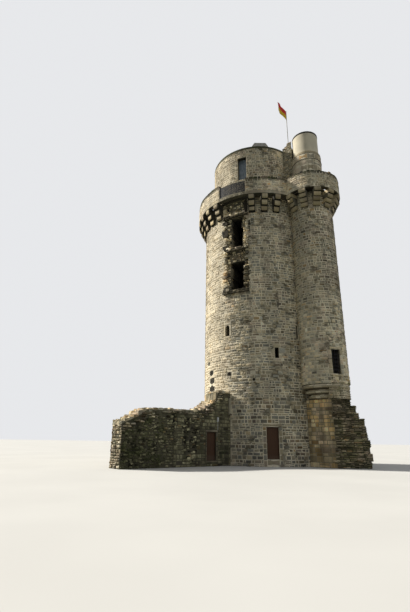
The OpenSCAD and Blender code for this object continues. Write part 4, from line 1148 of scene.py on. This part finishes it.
def link_stones():
    """Broken wall between the drums: rough faces and loose stones along its top."""
    mesh = StoneMesh("link_stones", 61, "drum_stone", "rubble")
    r = mesh.rng
    end = TURRET_OUT - math.sqrt(CAP_DRUM_R ** 2 - LINK_HALF ** 2)
    long = end - LINK_FROM

    def above(u, v):
        return v > LINK_TOPS[min(max(int(u / LINK_STEP), 0), 3)] - 0.02

    def above_back(u, v):
        return above(long - u, v)
    levels = mesh.levels(WALK_TOP, LINK_TOPS[-1], 0.17)
    for side, out, along, hidden in ((-LATERAL, LINK_FROM, OUTWARD, above), (LATERAL, end, -OUTWARD, above_back)):
        mesh.lay("link", FlatFace(side * LINK_HALF + OUTWARD * out, along, side), 0.0, long, levels,
                 hidden=hidden)
    pole = pole_foot()
    for k, top in enumerate(LINK_TOPS):
        side = -LINK_HALF + 0.08
        while side < LINK_HALF:
            size = (r.uniform(0.16, 0.34), r.uniform(0.2, 0.3), r.uniform(0.10, 0.26))
            at = LATERAL * side + OUTWARD * (LINK_FROM + (k + 0.5) * LINK_STEP + r.uniform(-0.04, 0.04))
            inside = at.length > DRUM_R + 0.08 and (at - TURRET).length > CAP_DRUM_R + 0.10
            if inside and (at - pole).length > 0.24:
                mesh.rock(at + UP * (top + size[2] * 0.25), size, (LATERAL, OUTWARD, UP), 0.6, 1.2, 0.5)
            side += size[0] * r.uniform(0.75, 1.05)
    mesh.build()


# The ruined curtain wall. Distances s run from the keep to its far end
CURTAIN_DOOR = (1.36, 2.19, 0.36, 2.28)
RAGGED = (3.1, 4.15)
FAR_PART = 5.0


def curtain_top(s):
    for (s0, z0), (s1, z1) in zip(CURTAIN_PROFILE, CURTAIN_PROFILE[1:]):
        if s0 <= s <= s1:
            return z0 + (z1 - z0) * (s - s0) / (s1 - s0)
    return CURTAIN_PROFILE[-1][1]


def sunlit_band_depth(s):
    """How far the band of pale torn stones reaches down from the wall's top; its paleness is painted sunlight on the
    broken top.
    """
    return 0.12 if s < 0.7 else 0.55 if s < 3.4 else 0.28 if s < 5.6 else 0.5


def from_end(area):
    """The same area on the front face, whose u starts at the far end."""
    return (CURTAIN_L - area[1], CURTAIN_L - area[0]) + area[2:]


def curtain_stones():
    front = FlatFace(CURTAIN_AT - CURTAIN_X * CURTAIN_L, CURTAIN_X, CURTAIN_OUT)
    back = FlatFace(CURTAIN_AT + CURTAIN_IN * CURTAIN_T, -CURTAIN_X, CURTAIN_IN)
    end = FlatFace(CURTAIN_AT - CURTAIN_X * CURTAIN_L + CURTAIN_IN * CURTAIN_T, CURTAIN_OUT, -CURTAIN_X)
    left, right, sill, head = CURTAIN_DOOR
    jambs = [(1.22, left, sill, head), (right, 2.31, sill, head), (1.2, 2.33, head, 2.44), (1.24, 2.29, 0.24, sill)]
    axes = (CURTAIN_X, CURTAIN_IN, UP)

    def outside(s, v, deep):
        p = CURTAIN_AT + CURTAIN_IN * deep - CURTAIN_X * s
        return v > curtain_top(s) - 0.05 or p.length < KEEP_R - 0.02

    def over_front_wall(u, v):
        s = CURTAIN_L - u
        return outside(s, v, 0.0) or v > curtain_top(s) - sunlit_band_depth(s)

    def out_of_band(u, v):
        s = CURTAIN_L - u
        return outside(s, v, 0.0) or v <= curtain_top(s) - sunlit_band_depth(s)

    def over_back(u, v):
        return outside(u, v, CURTAIN_T)

    mesh = StoneMesh("curtain_front_stones", 71, "curtain_stone")
    r = mesh.rng
    corner = (CURTAIN_L - 0.17, CURTAIN_L + 0.2, 3.55, 4.80)
    holes = [from_end(area) for area in [CURTAIN_DOOR] + jambs] + [corner, from_end(RAGGED + (0.9, 3.7))]
    levels = mesh.levels(0.0, CURTAIN_HIGH, 0.21, [sill, head, 2.44, 3.55, 4.8])
    mesh.lay("curtain", front, CURTAIN_L - FAR_PART, CURTAIN_L, levels, holes, over_front_wall)
    mesh.lay("curtain_far", front, 0.0, CURTAIN_L - FAR_PART, mesh.levels(0.0, CURTAIN_LOW, 0.17),
             hidden=over_front_wall)
    mesh.lay("curtain_ragged", front, CURTAIN_L - RAGGED[1], CURTAIN_L - RAGGED[0],
             mesh.levels(0.9, CURTAIN_LOW, 0.17), hidden=over_front_wall)
    for count, s0, s1, v0, v1 in ((60, 3.0, 4.2, 0.9, 3.3), (14, 3.3, 3.9, 0.3, 0.9), (200, 5.7, 8.7, 0.15, 3.3),
                                  (16, 4.3, 5.6, 2.6, 3.3)):
        for _ in range(count):
            s, v = r.uniform(s0, s1), r.uniform(v0, v1)
            size = (r.uniform(0.10, 0.28), 0.11, r.uniform(0.06, 0.16))
            tone = r.choice((0.1, 0.1, 0.2, 1.5, 2.0))
            if not over_front_wall(CURTAIN_L - s, v + 0.1):
                mesh.rock(CURTAIN_AT - CURTAIN_X * s - CURTAIN_IN * 0.02 + UP * v, size, axes, 0.6, 0.5, tone)
    mesh.build()
    # Pale stones along the top of the front face: partly the torn top, partly painted sunlight on the broken top,
    # which slopes back out of view.
    mesh = StoneMesh("curtain_band_stones", 75, "curtain_top", "rubble")
    mesh.lay("curtain_band", front, 0.0, CURTAIN_L - 0.1, mesh.levels(2.0, CURTAIN_HIGH, 0.15), [corner],
             out_of_band)
    mesh.build()
    mesh = StoneMesh("curtain_back_stones", 72, "curtain_stone")
    mesh.lay("curtain_back", back, -1.0, CURTAIN_L, levels, [CURTAIN_DOOR], over_back)
    mesh.build()
    mesh = StoneMesh("curtain_door_stones", 73, "pale_stone", "pale_ashlar")
    for u0, u1, z, high in map(from_end, jambs[:2]):
        while z < high - 0.05:
            step = min(0.32, high - z)
            mesh.single(front, (u0, u1, z, z + step), 0.012, 0.42, 0.4)
            z += step
    for area in map(from_end, jambs[2:]):
        mesh.single(front, area, 0.02, 0.48, 0.4)
    mesh.build()
    mesh = StoneMesh("curtain_top_stones", 74, "curtain_top", "rubble")
    r = mesh.rng
    mesh.lay("curtain_end", end, 0.0, CURTAIN_T, mesh.levels(0.0, 2.6, 0.2))
    s = -0.1
    while s < CURTAIN_L - 0.05:
        length = r.uniform(0.2, 0.42)
        side = 0.02
        while side < CURTAIN_T - 0.02:
            deep = min(r.uniform(0.22, 0.42), CURTAIN_T - side)
            high = r.uniform(0.12, 0.30)
            at = CURTAIN_AT - CURTAIN_X * (s + length / 2) + CURTAIN_IN * (side + deep / 2)
            if at.length > KEEP_R + 0.12:
                slope = curtain_top(s) - curtain_top(s + length)
                lift = curtain_top(s + length / 2) + high * r.uniform(0.0, 0.3) - slope * 0.1
                mesh.rock(at + UP * lift, (length * 1.05, deep * 1.05, high + slope * 0.5), axes, 0.72, 1.1,
                          r.uniform(0.85, 1.15))
            side += deep
        s += length * r.uniform(0.85, 1.0)
    mesh.build()


def soft_box(mesh, centre, size, axes, bevel):
    """Box with rounded long edges, as five sections along its third axis."""
    w, d, h = (length / 2 for length in size)
    sections = []
    for z, pull in ((-h, bevel), (-h + bevel, 0.0), (0.0, 0.0), (h - bevel, 0.0), (h, bevel)):
        ring = []
        for sx, sy, start in ((-1, -1, 180), (1, -1, 270), (1, 1, 0), (-1, 1, 90)):
            for k in range(4):
                a = math.radians(30 * k + start)
                x = sx * (w - bevel) + (bevel - pull) * math.cos(a)
                y = sy * (d - bevel) + (bevel - pull) * math.sin(a)
                ring.append(centre + axes[0] * x + axes[1] * y + axes[2] * z)
        sections.append(ring)
    mesh.strip(sections, 0.2)


def small_fittings():
    """White wall lamp beside the small door, and the closer bars of the parapet's railing."""
    mesh = StoneMesh("wall_lamp", 81, "lamp_enamel", None)
    at = CURTAIN_AT - CURTAIN_X * 1.24 - CURTAIN_IN * 0.045
    for deep, z, size, bevel in ((0.0, 3.20, (0.13, 0.09, 0.26), 0.02), (0.025, 3.05, (0.17, 0.05, 0.06), 0.012),
                                 (0.012, 2.73, (0.022, 0.022, 0.60), 0.006)):
        soft_box(mesh, at + CURTAIN_IN * deep + UP * z, size, (CURTAIN_X, CURTAIN_OUT, UP), bevel)
    mesh.build()
    mesh = StoneMesh("railing_bars", 82, "iron_paint", "iron")
    foot, head = LINTEL_TOP + 0.095, LINTEL_TOP + 1.135
    bars, end = 84, 0.3
    for i in range(bars + 1):
        axes = frame_at(SCAR_AZ[0] + end + (SCAR_AZ[1] - SCAR_AZ[0] - 2 * end) * i / bars)
        soft_box(mesh, axes[1] * (PARAPET_R - 0.075) + UP * ((foot + head) / 2), (0.023, 0.012, head - foot),
                 axes, 0.003)
    mesh.build()


# Flag: waving cloth, red above yellow
FLAG_LENGTH, FLAG_HEIGHT = 1.65, 1.10
FLAG_GRID = (44, 26)
FLAG_BEARING = math.radians(228)


def flag_paint(seam):
    g = Graph("flag_weave")
    half = g.ranged(g.split(g.coords)[2], seam - 0.004, seam + 0.004)
    weave = g.noise(260.0, 1.0)
    tint = g.fade(g.mix(half, (0.85, 0.56, 0.02), (0.72, 0.03, 0.02)), weave, 0.3, 0.7, 0.9, 1.06)
    g.finish(tint, 0.75, weave, 0.0006)


def make_flag():
    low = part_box("flag")[0]
    foot = pole_foot()
    fly = Vector((math.cos(FLAG_BEARING), math.sin(FLAG_BEARING), 0))
    side = Vector((-fly.y, fly.x, 0))
    nx, nz = FLAG_GRID
    points, faces = [], []
    for i in range(nx + 1):
        t = i / nx
        for k in range(nz + 1):
            s = k / nz
            wave = 0.055 * t ** 0.7 * math.sin(t * 7.5 + s * 1.3) + 0.02 * t * math.sin(t * 15 - s * 3)
            reach = 0.04 + t * FLAG_LENGTH * 0.955
            points.append(foot + fly * reach + side * wave + Vector((0, 0, low.z + s * FLAG_HEIGHT)))
    for i in range(nx):
        for k in range(nz):
            a = i * (nz + 1) + k
            faces.append((a, a + nz + 1, a + nz + 2, a + 1))
    mesh = bpy.data.meshes.new("flag_cloth")
    mesh.from_pydata([tuple(p) for p in points], [], faces)
    for poly in mesh.polygons:
        poly.use_smooth = True
    flag_paint(low.z + FLAG_HEIGHT * 0.5)
    mesh.materials.append(M["flag_weave"])
    flag = add_object("flag_cloth", mesh)
    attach(flag, "root")
    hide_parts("flag")


SKY_COLOUR = (0.97, 0.98, 1.0)


def sun_lamp(name, az, el, strength, spread, colour):
    light = bpy.data.lights.new(name, "SUN")
    light.energy = strength
    light.angle = math.radians(spread)
    light.color = colour
    lamp = add_object(name, light)
    el = math.radians(el)
    lamp.rotation_mode = "QUATERNION"
    lamp.rotation_quaternion = at_round(KEEP, math.cos(el), az, math.sin(el)).to_track_quat("Z", "Y")


def make_stage():
    mesh = bpy.data.meshes.new("floor")
    half = 400
    mesh.from_pydata([(-half, -half, 0), (half, -half, 0), (half, half, 0), (-half, half, 0)], [], [(0, 1, 2, 3)])
    floor = add_object("floor", mesh)
    g = Graph("floor_paint")
    tint = g.fade((0.68, 0.68, 0.66), g.noise(0.15), 0.3, 0.7, 0.97, 1.03)
    g.finish(g.mix(g.seen(), (0.10, 0.11, 0.08), tint), 0.95)
    mesh.materials.append(M["floor_paint"])

    sun_lamp("sun", az=-107, el=34, strength=5.45, spread=4, colour=(1.0, 0.95, 0.86))
    sun_lamp("fill", az=65, el=28, strength=0.21, spread=80, colour=SKY_COLOUR)

    scene.world = bpy.data.worlds.new("studio")
    g = Graph("studio", scene.world)
    g.tree.nodes.clear()
    fill = g.add("ShaderNodeBackground", SKY_COLOUR, 0.275).outputs[0]
    shown = g.add("ShaderNodeBackground", (0.80, 0.81, 0.83), 1.0).outputs[0]
    mixer = g.add("ShaderNodeMixShader", g.seen(), fill, shown)
    g.add("ShaderNodeOutputWorld", mixer.outputs[0])


make_materials()
make_camera()
paint_nodes()
keep_stones()
scar_stones()
upper_stones()
turret_stones()
torn_base_stones()
stub_stones()
link_stones()
curtain_stones()
small_fittings()
make_flag()
make_stage()

scene.view_settings.view_transform = "Standard"
bpy.context.view_layer.update()
